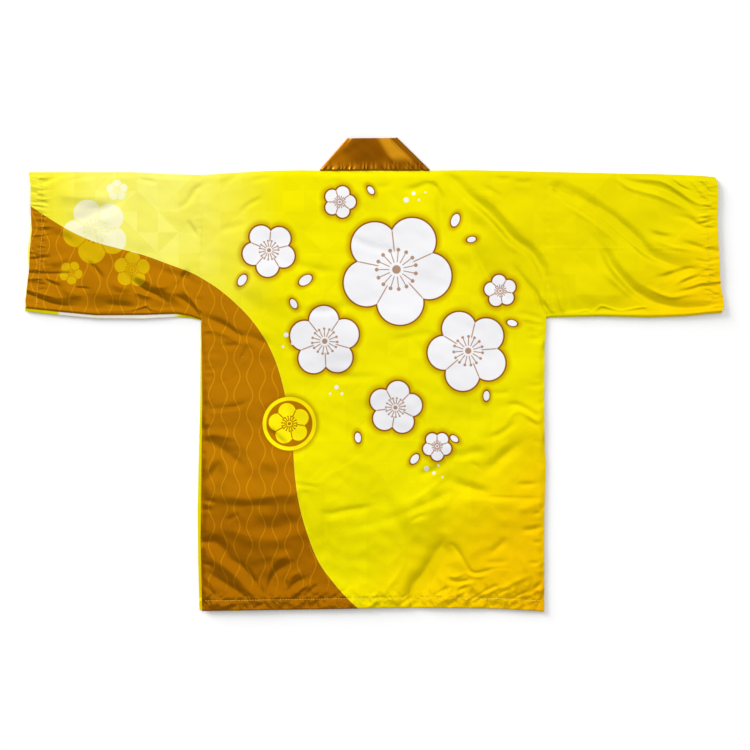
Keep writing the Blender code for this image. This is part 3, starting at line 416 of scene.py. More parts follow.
def beside(x, y, run):
    """Distance to a run, positive on its left, and the share of the run there."""
    near = np.full(x.shape, 1e9)
    side = np.ones(x.shape)
    share = np.zeros(x.shape)
    for k, (a, b) in enumerate(zip(run[:-1], run[1:])):
        d = b - a
        t = np.clip(((x - a[0]) * d[0] + (y - a[1]) * d[1]) / (d @ d), 0, 1)
        away = np.hypot(x - a[0] - t * d[0], y - a[1] - t * d[1])
        closer = away < near
        near = np.where(closer, away, near)
        turn = d[0] * (y - a[1]) - d[1] * (x - a[0])
        side = np.where(closer, np.where(turn < 0, -1.0, 1.0), side)
        share = np.where(closer, (k + t) / (len(run) - 1), share)
    return near * side, share


def bell(offset, width):
    """A round hump: 1 on a line, 0 from twice the width."""
    return np.clip(1.0 - (offset / (2.0 * width)) ** 2, 0.0, None) ** 2


def close_to(away, width):
    """1 on a line, easing to 0 on both sides of it."""
    return np.exp(-((away / width) ** 2))


def well_inside(away, reach):
    """0 on an edge, easing to 1 inside it."""
    return 1.0 - close_to(away, reach)


def crest(offset, left, right, sharp):
    """The section of a fold across its run: 1 on the run, 0 at its two reaches."""
    t = np.clip(np.abs(offset) / np.where(offset > 0, left, right), 0.0, 1.0)
    return (1.0 - t) ** 2 * (1.0 + 2.0 * (1.0 - sharp) * t)


def strength(share, start, end):
    """A fold's strength along its run: 1 in its middle, and less at its two ends."""
    return (start + (1 - start) * step(share / 0.35)) * (
        end + (1 - end) * step((1 - share) / 0.35)
    )


RUNS = {}  # those already worked out, by their points


def reached(x, y, rows, reach):
    """For each crease that comes near: its sizes, the places it reaches, and their offset and share."""
    for *sizes, points in rows:
        if points not in RUNS:
            RUNS[points] = run_of(points)
        run, far = RUNS[points], reach(sizes)
        low, high = run.min(0) - far, run.max(0) + far
        close = (x > low[0]) & (x < high[0]) & (y > low[1]) & (y < high[1])
        if close.any():
            yield sizes, close, *beside(x[close], y[close], run)


def wider_side(sizes):
    """The reach of a fold whose sizes are its height, its left, its right and more."""
    return max(sizes[1:3])


def under(x, y):
    """How far the lowest layer is raised off the floor."""
    total = np.zeros(x.shape)
    for (height,), close, offset, share in reached(x, y, UNDER_FOLDS, lambda _: 2 * UNDER_WIDTH):
        rise = height * bell(offset, UNDER_WIDTH) * strength(share, UNDER_ENDS, UNDER_ENDS)
        total[close] = np.maximum(total[close], rise)
    return total


def inset(x, y):
    """Distance from the nearest folded or seamed edge of the coat."""
    left, right = x < ARMHOLE_L, x > ARMHOLE_R
    low = np.where(left, at(SLEEVE_EDGE_L, x), at(SLEEVE_EDGE_R, x))
    in_sleeve = y - low
    from_l = np.hypot(x - at(SIDE_BACK_L, y), np.clip(y - UNDERARM_L, 0, None))
    from_r = np.hypot(at(SIDE_R, y) - x, np.clip(y - UNDERARM_R, 0, None))
    side = np.where(left | right, in_sleeve, np.minimum(from_l, from_r))
    return np.clip(np.minimum(side, at(SHOULDER, x) - y), 0, None)


def from_cuff(x, y):
    return np.where(x < 0, x - at(CUFF_L, y), at(CUFF_R, y) - x)


def from_hem(x, y):
    return y - at(HEM_EDGE, x)


def hem_zone(x, y):
    """1 over the turned hem and cuffs, easing to 0 above them."""
    return 1.0 - step((np.minimum(from_hem(x, y), from_cuff(x, y)) - 20.0) / 42.0)


def band_zone(x, y):
    """1 over the front bands, 0 over the fronts, and -1 where neither is below."""
    away = np.abs(x - CENTRE)
    seam = np.where(x < CENTRE, at(BAND_SEAM_L, y), at(BAND_SEAM_R, y))
    free = np.where(x < CENTRE, at(BAND_FREE_L, y), at(BAND_FREE_R, y))
    outside = 1.0 - step((away - seam - 2.0) / 18.0)
    inside = 1.0 - 2.0 * step((free - away - 2.0) / 34.0)
    return np.where(away > free, outside, inside)


def ripple(x, y, size, seed):
    """Soft uneven waves of about the given size, between -1 and 1."""
    draw = np.random.RandomState(seed)
    total = np.zeros(x.shape)
    for _ in range(7):
        turn = draw.uniform(0, np.pi)
        scale = size * draw.uniform(0.7, 1.5)
        u = (x * np.cos(turn) + y * np.sin(turn)) / scale * 2 * np.pi
        bend = 1.3 * np.sin((y * np.cos(turn) - x * np.sin(turn)) / (1.9 * scale) + draw.uniform(0, 6))
        total += np.sin(u + bend + draw.uniform(0, 6))
    return total / 4.2


def crumple(x, y, size, seed):
    """Crisp uneven facets of about the given size, between -1 and 1."""
    return 1.0 - 2.0 * np.abs(ripple(x, y, size, seed))


def low_swell(x, y, seed):
    """Soft swells of a layer that lies on the floor, each standing up from it."""
    return np.clip(0.5 * ripple(x, y, 58.0, seed) + 0.3 * ripple(x, y, 24.0, seed + 1), 0, None)


def gathered(along, off, ends, count, width, size, drift, reach, lean, seed):
    """Uneven little folds across a stitched line. Off is the distance from that line."""
    draw = np.random.RandomState(seed)
    total = np.zeros(along.shape)
    for _ in range(count):
        place, wide = draw.uniform(*ends), draw.uniform(*width)
        high = draw.uniform(*size) * draw.choice((-1, 1))
        centre, long, slant = draw.uniform(*drift), draw.uniform(*reach), draw.uniform(*lean)
        across = (along - place - slant * off) / wide
        total += high * np.exp(-(across**2) - ((off - centre) / long) ** 2)
    return total


# Gathers along the stitching: where they lie, how many, and the least and the most of
# each one's width, height, place across the line, length and slant.
CUFF_GATHERS = dict(
    ends=(112, 380), count=150, width=(1.6, 3.1), size=(0.18, 0.58),
    drift=(-12, 9), reach=(4, 13), lean=(-0.3, 0.3),
)  # fmt: skip
HEM_GATHERS = dict(
    ends=(-325, 322), count=140, width=(2.4, 6.5), size=(0.3, 1.1),
    drift=(-14, 8), reach=(5, 11), lean=(-0.5, 1.5),
)  # fmt: skip
SIDE_GATHERS = dict(
    ends=(-440, 100), count=60, width=(2.6, 6.5), size=(0.2, 0.75),
    drift=(0, 6), reach=(6, 16), lean=(-0.3, 0.3),
)  # fmt: skip


def puckers(x, y):
    """Small folds that the stitching draws up along cuffs, hem, sides and armholes."""
    cuff, hem = from_cuff(x, y) - CUFF, from_hem(x, y) - HEM
    sleeve = (x < ARMHOLE_L) | (x > ARMHOLE_R)
    total = np.zeros(x.shape)

    def draw_up(where, along, off, seed, gathers, dip=0.0, width=1.0):
        if where.any():
            total[where] += gathered(along[where], off[where], seed=seed, **gathers)
            total[where] -= dip * close_to(off[where], width)

    for side, seed in ((-1, 61), (1, 62)):
        draw_up(sleeve & (x * side > 0) & (cuff < 50), y, cuff, seed, CUFF_GATHERS, 0.12, 2.0)
    draw_up((hem < 60) & ~sleeve, x, hem, 63, HEM_GATHERS, 0.35, 2.2)
    for edge, side, seed in ((SIDE_BACK_L, 1, 64), (SIDE_R, -1, 65)):
        off = side * (x - at(edge, y))
        draw_up((off < 60) & ~sleeve & (y < UNDERARM_L), y, off, seed, SIDE_GATHERS)
    # a groove along each armhole, the sleeve's allowance beside it, and a low wave across both
    arm = np.minimum(np.abs(x - ARMHOLE_L), np.abs(x - ARMHOLE_R))
    above = y > UNDERARM_L
    total -= np.where(above, 0.12 * close_to(arm, 2.2), 0)
    total += np.where(above & sleeve, 0.10 * step((13.0 - arm) / 8.0), 0)
    wave = y / 16.0 * 2 * np.pi + 1.8 * np.sin(y / 23.0)
    total += np.where(above, 0.10 * np.sin(wave) * close_to(arm, 11.0), 0)
    return total


def lift(x, y):
    """How far the upper layer stands up from the layer below it."""
    away, from_centre = inset(x, y), np.abs(x - CENTRE)
    # the rim lies low beside the neck, and stands up along the sleeves' lower seams
    rim = 0.5 * step(np.hypot(np.clip(from_centre - 101.5, 0, None), NECK - y) / 30.0)
    rim += 0.65 * step((from_centre - 326.0) / 50.0) * (1.0 - step((y - 112.0) / 110.0))
    slow = rim + (0.8 - rim) * well_inside(away, 6.0) + 0.2 * well_inside(away, 48.0)
    # the slow swell of the whole cloth
    body = 3.8 + 0.7 * np.sin(x / 61.0 + 0.7) * np.cos(y / 83.0) + 0.5 * np.sin(y / 47.0 + x / 120.0)
    body += 0.85 * ripple(x, y, 95.0, 3) + 0.16 * ripple(x, y, 34.0, 5)
    folds = np.zeros(x.shape)
    for sizes, close, offset, share in reached(x, y, FOLDS, wider_side):
        height, left, right, sharp, start, end = sizes
        section = crest(offset, left, right, sharp)
        folds[close] += DEPTH * height * section * strength(share, start, end)
    # fine facets, crisper along the hem and most of all at its right
    fine = puckers(x, y)
    by_hem = close_to(from_hem(x, y) - 22.0, 30.0)
    fine += by_hem * (0.26 + 0.36 * step((x - 40.0) / 120.0)) * crumple(x, y, 24.0, 11)
    fine += (0.05 + 0.16 * step((60.0 - y) / 200.0)) * crumple(x, y, 58.0, 12)
    for (height, left, right), close, offset, _ in reached(x, y, SEAM_RIDGES, wider_side):
        fine[close] += height * crest(offset, left, right, RIDGE_SHARP)
    total = body * slow + folds * well_inside(away, 9.0) + fine * well_inside(away, 3.0)
    return 0.5 * (total + np.sqrt(total**2 + 0.3)) - 0.2


def top(x, y):
    """The upper face of the upper layer: what lies below it, or its own folds where they are higher."""
    hem = hem_zone(x, y)
    rest = LYING + np.maximum(1.1 * band_zone(x, y), 0.6 * hem) + under(x, y)
    free = STANDING + hem + lift(x, y)
    return 0.5 * (rest + free + np.sqrt((free - rest) ** 2 + 0.2))


def top_at(x, y):
    return float(top(np.array([x], float), np.array([y], float))[0])


# ---------------------------------------------------------------- meshes
def new_piece(name, points, faces, material):
    """A smooth piece of the coat. Points are in metres."""
    mesh = bpy.data.meshes.new(name)
    mesh.from_pydata(points.tolist(), [], faces)
    mesh.shade_smooth()
    mesh.materials.append(material)
    made = bpy.data.objects.new(name, mesh)
    bpy.context.scene.collection.objects.link(made)
    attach(made, "root")
    return made


def wall(name, outer, inner, material, facing, cells=None, ring=False):
    """One closed wall between two grids of points. Facing is 1 where the print's back side shows."""
    outer, inner = np.array(outer, float), np.array(inner, float)
    rows, wide = outer.shape[:2]
    if cells is None:
        cells = np.ones((rows - 1, wide - 1), bool)
    count = rows * wide
    index = np.arange(count).reshape(rows, wide)
    if ring:
        index[:, -1] = index[:, 0]
    corners = index[:-1, :-1], index[:-1, 1:], index[1:, 1:], index[1:, :-1]
    quads = np.stack(corners, -1)[cells]
    edges = np.concatenate([quads[:, [k, (k + 1) % 4]] for k in range(4)])
    key = edges[:, 0] * count + edges[:, 1]
    twin = edges[:, 1] * count + edges[:, 0]
    rim = edges[~np.isin(key, twin)]
    rims = np.stack([rim[:, 1], rim[:, 0], rim[:, 0] + count, rim[:, 1] + count], 1)
    faces = np.concatenate([quads, quads[:, ::-1] + count, rims])
    points = np.concatenate([outer.reshape(-1, 3), inner.reshape(-1, 3)])
    is_inner = np.concatenate([np.zeros(count), np.ones(count)])
    behind = np.concatenate([(np.ones((rows, wide)) * facing).reshape(-1)] * 2)
    used, faces = np.unique(faces, return_inverse=True)
    faces = faces.reshape(-1, 4)
    points, is_inner, behind = points[used] * MM, is_inner[used], behind[used]
    p = points[faces]
    if np.einsum("ij,ij->i", p[:, 0], np.cross(p[:, 1], p[:, 2])).sum() < 0:
        faces = faces[:, ::-1]
    made = new_piece(name, points, faces.tolist(), material)
    mesh = made.data
    mesh.set_sharp_from_angle(angle=1.0)
    for label, values in (("inside", is_inner), ("behind", behind)):
        mesh.attributes.new(label, "FLOAT", "POINT").data.foreach_set("value", values)
    cut = mesh.uv_layers.new(name="cut")
    loops = np.empty(len(mesh.loops), int)
    mesh.loops.foreach_get("vertex_index", loops)
    cut.data.foreach_set("uv", points[loops][:, :2].ravel())
    return made


def lay(outer, inner, x, y, z, thick):
    """Adds a row of points to one face of a wall, and to the other face, thick below it."""
    outer.append(np.stack([x, y, z], 1))
    inner.append(np.stack([x, y, z - thick], 1))


def fold_arc(edge, high, thick, angle):
    """Outer and inner (y, z) round a fold whose outermost line is at edge."""
    reach = 0.5 * high
    r = reach - thick
    outer = (edge - reach + reach * np.sin(angle), reach + reach * np.cos(angle))
    inner = (edge - reach + r * np.sin(angle), reach + r * np.cos(angle))
    return outer, inner


def make_back(material):
    """One panel: hem, body, and a roll over each shoulder to the seam on the front side."""
    side, middle = np.linspace(0, 1, 72), np.linspace(0, 1, 58)[1:-1]
    edge_l, edge_r = ARMHOLE_L + SEAM / 2, ARMHOLE_R - SEAM / 2
    neck_l, neck_r = NECK_L - 2 * GAP, NECK_R + 2 * GAP

    def columns(y_side, strip=0.0):
        at_l = at(SIDE_BACK_L, y_side) if y_side < ARM_ROWS else edge_l
        at_r = at(SIDE_R, y_side) if y_side < ARM_ROWS else edge_r
        n_l, n_r = neck_l + 0.1 * strip, neck_r - 0.1 * strip
        parts = at_l + side * (n_l - at_l), n_l + middle * (n_r - n_l), n_r + side * (at_r - n_r)
        return np.concatenate(parts)

    outer, inner = [], []
    # the turned hem, doubled but for its last row
    low = [0.0, 0.5, 2.5, 5.5, 8.5, 11.5, 14.5, 16.8, HEM - 0.8, HEM - 0.2]
    for k, up in enumerate(low):
        x = columns(HEM_BACK + up)
        y = at(HEM_EDGE, x) + up
        thick = 2 * THIN if k < len(low) - 1 else THIN
        lay(outer, inner, x, y, top(x, y) - (0.25 if k == 0 else 0.0), thick)
    n_body, n_upper, start = 142, 68, HEM_BACK + low[-1]
    for k in range(1, n_body + 1):
        f = (k / n_body) ** 1.2
        x = columns(start + f * (SPLIT + JUST - start))
        y = (at(HEM_EDGE, x) + low[-1]) * (1 - f) + SPLIT * f
        lay(outer, inner, x, y, top(x, y), THIN)
    x = columns(UPPER)
    in_neck = (x > neck_l + JUST) & (x < neck_r - JUST)
    high = top(x, at(SHOULDER, x) - BESIDE)
    end = np.where(in_neck, NECK - GAP, at(SHOULDER, x) - 0.5 * high)
    for k in range(1, n_upper + 1):
        f = k / n_upper
        y = SPLIT * (1 - f) + end * f
        z = top(x, y)
        lay(outer, inner, x, y, z if k < n_upper else np.where(in_neck, z - 0.5, high), THIN)
    # over the shoulders, then along the floor to the seam
    for angle in np.radians(np.arange(20, 181, 20)):
        (yo, zo), (yi, zi) = fold_arc(at(SHOULDER, x), high, THIN, angle)
        outer.append(np.stack([x, yo, zo], 1))
        inner.append(np.stack([x, yi, zi], 1))
    for back in (3.0, 6.0, SEAM_BACK):
        x = columns(UPPER, back)
        y = at(SHOULDER, x) - 0.5 * high - back
        lay(outer, inner, x, y, 0 * y, -THIN)
    first_arc = len(low) + n_body + n_upper - 1
    cells = np.ones((len(outer) - 1, len(x) - 1), bool)
    cells[first_arc:, len(side) - 1 : len(side) + len(middle)] = False  # nothing rolls over at the neck
    facing = np.zeros((len(outer), len(x)))
    facing[first_arc + 4 :] = 1.0  # from the middle of the roll
    return wall("back_satin", outer, inner, material, facing, cells)


def band_seam(table):
    """The band's seam, straight between its rows."""
    rows_y = [y for y, _ in BAND_ROWS]
    return list(zip(rows_y, at(table, rows_y)))


def make_front(name, sign, seam_table, material):
    """A front panel on the floor, from the side seam to the band and from hem to shoulder seam."""
    across = np.linspace(0, 1, 54)
    seam_run = band_seam(seam_table)
    n_body, n_upper, y_last = 106, 54, 369

    def row(y):
        if y > ARM_ROWS:
            outer_x = ARMHOLE_L + SEAM / 2 if sign < 0 else ARMHOLE_R - SEAM / 2
        else:
            outer_x = at(SIDE_FRONT_L, y) if sign < 0 else at(SIDE_R, y) - 1.0
        inner_x = CENTRE + sign * (at(seam_run, y) + GAP)
        return outer_x + across * (inner_x - outer_x)

    def hem_y(x):
        # the left front peeks out below the back at one place
        return at(HEM_EDGE, x) + SET_IN - (3.4 * bell(x + 255, 16) if sign < 0 else 0.0)

    rows = []
    low = [0.0, 0.6, 4.0, 8.0, 12.0, 15.5, HEM - 0.8, HEM - 0.2]
    for k, up in enumerate(low):
        x = row(HEM_FRONT + up)
        rows.append((x, hem_y(x) + up, 2 * THIN if k < len(low) - 1 else THIN))
    for k in range(1, n_body + 1):
        f = k / n_body
        x = row(HEM_FRONT + low[-1] + f * (SPLIT + JUST - HEM_FRONT - low[-1]))
        rows.append((x, (hem_y(x) + low[-1]) * (1 - f) + SPLIT * f, THIN))
    for k in range(1, n_upper + 1):
        f = k / n_upper
        x = row(max(SPLIT + JUST, SPLIT + f * (y_last - SPLIT)))
        high = top(x, at(SHOULDER, x) - BESIDE)
        end = at(SHOULDER, x) - 0.5 * high - SEAM_BACK - GAP
        rows.append((x, SPLIT * (1 - f) + end * f, THIN))
    outer, inner = [], []
    for x, y, thick in rows:
        ends = row(float(np.clip(y.mean(), -440, y_last)))
        seam = np.minimum(np.abs(x - ends[0]), np.abs(x - ends[-1]))
        up = y - at(HEM_EDGE, x)
        rise = low_swell(x, y, 21) * step(seam / 14.0) * step((up - 24) / 10.0)
        stitch = 0.35 * close_to(up - SET_IN - HEM, 1.8)
        lay(outer, inner, x, y, under(x, y) + 0.8 * rise + stitch, -thick)
    return wall(name, outer, inner, material, 1.0)


def make_sleeve(name, sign, material):
    """A tube of rings from the armhole to the cuff, pressed flat, with its seam below."""
    if sign < 0:
        armhole, edge, y_fold = ARMHOLE_L - SEAM / 2, SLEEVE_EDGE_L, 350.0
        cuff_up, cuff_under = CUFF_L, CUFF_UNDER_L
    else:
        armhole, edge, y_fold = ARMHOLE_R + SEAM / 2, SLEEVE_EDGE_R, 366.0
        cuff_up, cuff_under = CUFF_R, CUFF_R
    length = 322.0
    shares = [k / 108 * (1 - 24 / length) for k in range(109)]
    shares += [1 - d / length for d in (CUFF + 2, CUFF + 0.4, CUFF - 0.4, 17.5, 15, 12, 9, 6, 3, 0.6, 0)]
    n_up, n_low = 156, 88
    arc = np.radians(np.arange(22.5, 158, 22.5))
    outer, inner, facing = [], [], []
    for share in shares:
        thick = 2 * THIN if share > 1 - CUFF / length else THIN

        def place(y, table):
            return armhole + share * (at(table, y) - armhole)

        y_top = float(at(SHOULDER, place(y_fold, cuff_up)))
        x_low = place(118.0, cuff_up)
        y_low = float(at(edge, x_low))
        peek = float(at(PEEK_L, x_low)) if sign < 0 else 0.8
        high_top = top_at(place(366.0, cuff_up), y_top - BESIDE)
        high_low = top_at(x_low, y_low + BESIDE)
        o, n = [], []
        # upper side, from the seam below to the fold at the top
        y = np.linspace(y_low + 4.0, y_top - 0.5 * high_top, n_up + 1)
        x = place(y, cuff_up)
        z = top(x, y)
        for end, height in ((0, high_low), (-1, high_top)):
            blend = close_to(y - y[end], 5.0)
            z = z * (1 - blend) + height * blend
        lay(o, n, x, y, z, thick)
        for angle in arc:
            (yo, zo), (yi, zi) = fold_arc(y_top, z[-1], thick, angle)
            mix = step(angle / np.pi)
            xa = place(y[-1], cuff_up) * (1 - mix) + place(y[-1], cuff_under) * mix
            o.append(np.array([[xa, yo, zo]]))
            n.append(np.array([[xa, yi, zi]]))
        # under side, back down to the seam, where it curls a little off the floor
        y2 = np.linspace(y[-1], y_low + 3.0, n_low + 1)
        x2 = place(y2, cuff_under)
        rise = low_swell(x2, y2, 31) * step((y2[0] - y2) / 16.0) * step((y2 - y2[-1]) / 16.0)
        rise = rise * step((from_cuff(x2, y2) - 24) / 12.0) * step((np.abs(x2) - 322) / 10.0)
        high = z[0]
        curl = 2.2 * float(step((abs(x_low) - 340.0) / 70.0))
        lip = min(2.4 + curl, high - 1.5)
        rest = lip - min(2.4, 0.4 * high)
        z2 = under(x2, y2) + 0.8 * rise + rest * (1.0 - step((y2 - y2[-1]) / 26.0))
        lay(o, n, x2, y2, z2, -thick)
        # round the seam, with the lip of the under side that shows below it
        room = high - 2 * thick
        x, x_up = place(y_low, cuff_under), place(y_low, cuff_up)
        y_lip = y_low - peek
        outer_seam = (
            (y_lip + 0.9, rest, x), (y_lip + 0.2, rest + 0.2 * (lip - rest), x),
            (y_lip, 0.5 * (rest + lip), x), (y_lip + 0.3, rest + 0.84 * (lip - rest), x),
            (y_lip + 0.4 * peek, rest + 0.97 * (lip - rest), x), (y_low - 0.12 * peek, lip, x),
            (y_low + 0.15, max(0.35 * high + 0.75, lip + 0.2), x_up), (y_low + 0.7, high - 0.75, x_up),
            (y_low + 1.5, high - 0.3, x_up), (y_low + 2.7, high - 0.05, x_up),
        )  # fmt: skip
        for q, (yo, zo, xo) in zip(np.linspace(0, 1, len(outer_seam)), outer_seam):
            yi = y_low + 2.4 + 1.2 * (1 - np.sin(np.pi * q))
            zi = thick + rest + (room - rest) * (0.04 + 0.92 * q)
            o.append(np.array([[xo, yo, zo]]))
            n.append(np.array([[xo, yi, zi]]))
        outer.append(np.concatenate([*o, o[0][:1]]))
        inner.append(np.concatenate([*n, n[0][:1]]))
        hidden = np.zeros(len(outer[-1]))
        # from the middle of the fold to the top of the lip
        hidden[n_up + 5 : n_up + 1 + len(arc) + n_low + 1 + 6] = 1.0
        facing.append(hidden)
    return wall(name, outer, inner, material, np.array(facing), ring=True)


def collar_sections():
    """Sections of the band: seam point, free point, the way it faces, and its place along the neck."""
    stations = np.concatenate([np.linspace(381, 262, 40), np.linspace(258, -431.0, 150)])

    def below_neck(sign, seam, free):
        made = []
        seam_run = band_seam(seam)
        for y in stations:
            more = float(at(BAND_ROWS, y))
            s = (CENTRE + sign * float(at(seam_run, y)), y)
            f = (CENTRE + sign * float(at(free, y + more)), y + more)
            made.append((s, f, (0.0, 0.0, -1.0), None))
        return made

    def roll(neck, corner, sign):
        run = np.array(corner) - np.array(neck)
        run /= np.linalg.norm(run)
        out = np.array([run[1], -run[0]]) * sign
        return [
            (neck, corner, (out[0] * np.sin(a), out[1] * np.sin(a), np.cos(a)), None)
            for a in np.radians(np.arange(15, 170, 15))
        ]

    made = below_neck(-1, BAND_SEAM_L, BAND_FREE_L)[::-1]
    made += roll((NECK_L, NECK), COLLAR_L, -1)[::-1]
    for f in np.linspace(0, 1, 161):
        s = (NECK_L + f * (NECK_R - NECK_L), NECK)
        c = tuple(np.array(COLLAR_L) * (1 - f) + np.array(COLLAR_R) * f)
        made.append((s, c, (0.0, 0.0, 1.0), f))
    made += roll((NECK_R, NECK), COLLAR_R, 1)
    made += below_neck(1, BAND_SEAM_R, BAND_FREE_R)
    return made


def gather_wave(place, sine):
    """Counts the collar's twenty uneven gathers along its neck seam."""
    return place * 20.0 + sine(place * 29.0) * 0.30 + sine(place * 61.0 + 1.0) * 0.18


def neck_form(x, y, across, place):
    """How far the collar stands up behind the neck: gathers, a soft swell, a sag and a twist."""
    size = 2.2 + 1.0 * np.sin(place * 44.0 + 2.0)
    reach = 0.24 + 0.08 * np.sin(place * 37.0)
    gather = size * np.sin(np.pi * gather_wave(place, np.sin)) ** 2
    gather = gather * (1 - step(across / reach)) * step(across / 0.03)
    sag = -1.5 * step(1.0 - abs(place - 0.5) / 0.26)
    middle = np.sin(np.pi * across)
    # it leans up on the left of a slanting twist and down on its right
    twist = step((x - np.interp(y, (384, 405, 440), (40, 27, 8))) / 14.0 + 0.5)
    fold = 3.6 * bell(x + 4.0, 46.0) * across * (1 - twist)
    fold = fold + (3.2 * step(across / 0.4) - 2.6 * across) * twist
    offset, _ = beside(x, y, np.array([(34.7, 435.6), (96.7, 374.6)]))
    fold = fold - 1.5 * crest(offset, 9.0, 5.0, 0.3)
    offset, _ = beside(x, y, np.array([(-70.0, 404.0), (-46.0, 416.0), (-30.0, 432.0)]))
    fold = fold - 0.8 * bell(offset, 6.0) * middle
    to_end = min(place, 1 - place)
    ends = step(to_end / 0.10)
    form = gather + sag + 0.5 * middle + fold * ends + 0.25 * ripple(x, y, 24.0, 41) * middle * ends
    return form * step(to_end / 0.02 + 0.1)


def make_collar(material):
    """The doubled band, in sections from its seam edge to its folded free edge."""
    across = np.concatenate([[0, 0.008, 0.03], np.linspace(0.06, 0.97, 24), [0.985, 0.995, 1.0]])
    half = np.ones(len(across)) * 0.9
    half[[0, -1]] = 0.35
    half[-2] = 0.75
    axis, middle = BAND + SLACK / 2, SLACK / 2 + BAND / 2
    outer, inner = [], []
    for s, f, way, place in collar_sections():
        s, f, way = np.array([*s, axis]), np.array([*f, axis]), np.array(way)
        spots = s + across[:, None] * (f - s)
        x, y = spots[:, 0], spots[:, 1]
        shift = np.zeros((len(across), 3))
        if place is not None:
            shift[:, 2] = neck_form(x, y, across, place)
        elif way[2] == -1:
            rise = np.clip(ripple(x, y, 30.0, 43), 0, None) * 0.6 * np.sin(np.pi * across)
            shift[:, 2] = rise * step((y + 440) / 20.0) * step((340 - y) / 30.0)
        centre = spots + way * middle + shift
        outer.append(centre + way * half[:, None])
        inner.append(centre - way * half[:, None])
    outer = np.array(outer)
    outer[..., 2] = np.maximum(outer[..., 2], 0.0)
    return wall("collar_satin", outer, inner, material, 0.0)


# ---------------------------------------------------------------- materials
def fill(tree, node, values):
    """Sets or links a node's inputs, by name or number, to numbers, colours, sockets or Sums."""
    for key, value in values.items():
        if isinstance(value, Sum):
            value = value.out
        if isinstance(value, bpy.types.NodeSocket):
            tree.links.new(value, node.inputs[key])
        else:
            node.inputs[key].default_value = (*value, 1.0) if isinstance(value, tuple) else value


def add(tree, kind, values=None, **settings):
    """A new shader node with its settings and inputs."""
    node = tree.nodes.new("ShaderNode" + kind)
    for label, setting in settings.items():
        setattr(node, label, setting)
    fill(tree, node, values or {})
    return node


class Sum:
    """A shader value with arithmetic, so that a print can be written as a formula."""

    def __init__(self, tree, out):
        self.tree, self.out = tree, out

    def op(self, kind, *others):
        node = add(self.tree, "Math", dict(enumerate((self, *others))), operation=kind)
        return Sum(self.tree, node.outputs[0])

    def __add__(self, other):
        return self.op("ADD", other)

    def __sub__(self, other):
        return self.op("SUBTRACT", other)

    def __mul__(self, other):
        return self.op("MULTIPLY", other)

    def __truediv__(self, other):
        return self.op("DIVIDE", other)

    def least(self, other):
        return self.op("MINIMUM", other)

    def most(self, other):
        return self.op("MAXIMUM", other)

    def over(self, low, high):
        """0 below low, 1 above high, eased between. The two may be swapped."""
        start, end = (1.0, 0.0) if low > high else (0.0, 1.0)
        ends = {"From Min": min(low, high), "From Max": max(low, high), "To Min": start, "To Max": end}
        node = add(self.tree, "MapRange", {"Value": self, **ends}, interpolation_type="SMOOTHSTEP")
        return Sum(self.tree, node.outputs["Result"])


def joined(kind, values):
    """Many shader values as one: their MINIMUM or MAXIMUM."""
    first, *others = values
    for value in others:
        first = first.op(kind, value)
    return first


def distance(dx, dy):
    return (dx * dx + dy * dy).op("SQRT")


def mixed(tree, share, low, high):
    """A colour from low to high by share. Each may be a colour or a socket."""
    node = add(tree, "Mix", {0: share}, data_type="RGBA")
    first, second = (k for k, socket in enumerate(node.inputs) if socket.type == "RGBA")
    fill(tree, node, {first: low, second: high})
    return [socket for socket in node.outputs if socket.type == "RGBA"][0]


def layered(tree, colour, *layers):
    """A colour with more laid over it in turn, each by its share."""
    for share, over in layers:
        colour = mixed(tree, share, colour, over)
    return colour


def srgb(r, g, b):
    """A linear colour from 0-255 display values."""
    return tuple((v / 255 / 12.92) if v <= 10 else ((v / 255 + 0.055) / 1.055) ** 2.4 for v in (r, g, b))


YELLOW, PALE, ORANGE = srgb(232, 221, 2), srgb(236, 232, 116), srgb(236, 190, 2)
# the second brown is the first with painted shade, for below the broad fold
BROWN, BROWN_FOLD_SHADE, DARK = srgb(170, 108, 4), srgb(158, 96, 3), srgb(140, 82, 4)
WAVE = srgb(206, 142, 18)
WHITE = srgb(232, 232, 236)
BROWN_PAINTED_SHADE = srgb(122, 68, 2)  # painted shade on the collar's brown satin
GOLD_SHEEN, BROWN_SHEEN = (1.0, 0.85, 0.02), (1.0, 0.6, 0.05)


def new_material(name):
    material = bpy.data.materials.new(name)
    material.use_nodes = True
    return material, material.node_tree, material.node_tree.nodes["Principled BSDF"]


def on_cloth(tree):
    """A point's place on the flat coat, in metres."""
    return add(tree, "UVMap", uv_map="cut").outputs[0]


def satin_base(name, tint, roughness=0.37, metallic=0.62):
    """A satin: cloth with a soft coloured lustre, fine yarns and a low crinkle."""
    material, tree, shader = new_material(name)
    place = on_cloth(tree)
    parts = add(tree, "SeparateXYZ", {0: place})
    x, y = (Sum(tree, parts.outputs[k]) * 1000.0 for k in (0, 1))
    yarns = (x * 9.0).op("SINE") * 0.5 + (y * 7.0).op("SINE") * 0.5
    crinkle = add(tree, "TexNoise", {"Vector": place, "Scale": 62.0, "Detail": 3.0, "Roughness": 0.55})
    low = add(tree, "Bump", {"Height": crinkle.outputs[0], "Distance": 0.0004, "Strength": 0.25})
    weave = {"Height": yarns, "Distance": 0.00002, "Strength": 0.6, "Normal": low.outputs[0]}
    fill(tree, shader, {
        "Roughness": roughness, "Metallic": metallic,
        "Specular IOR Level": 0.3, "Specular Tint": tint,
        "Sheen Weight": 0.05, "Sheen Roughness": 0.4, "Sheen Tint": tint,
        "Normal": add(tree, "Bump", weave).outputs[0],
    })  # fmt: skip
    return material, tree, shader, x, y


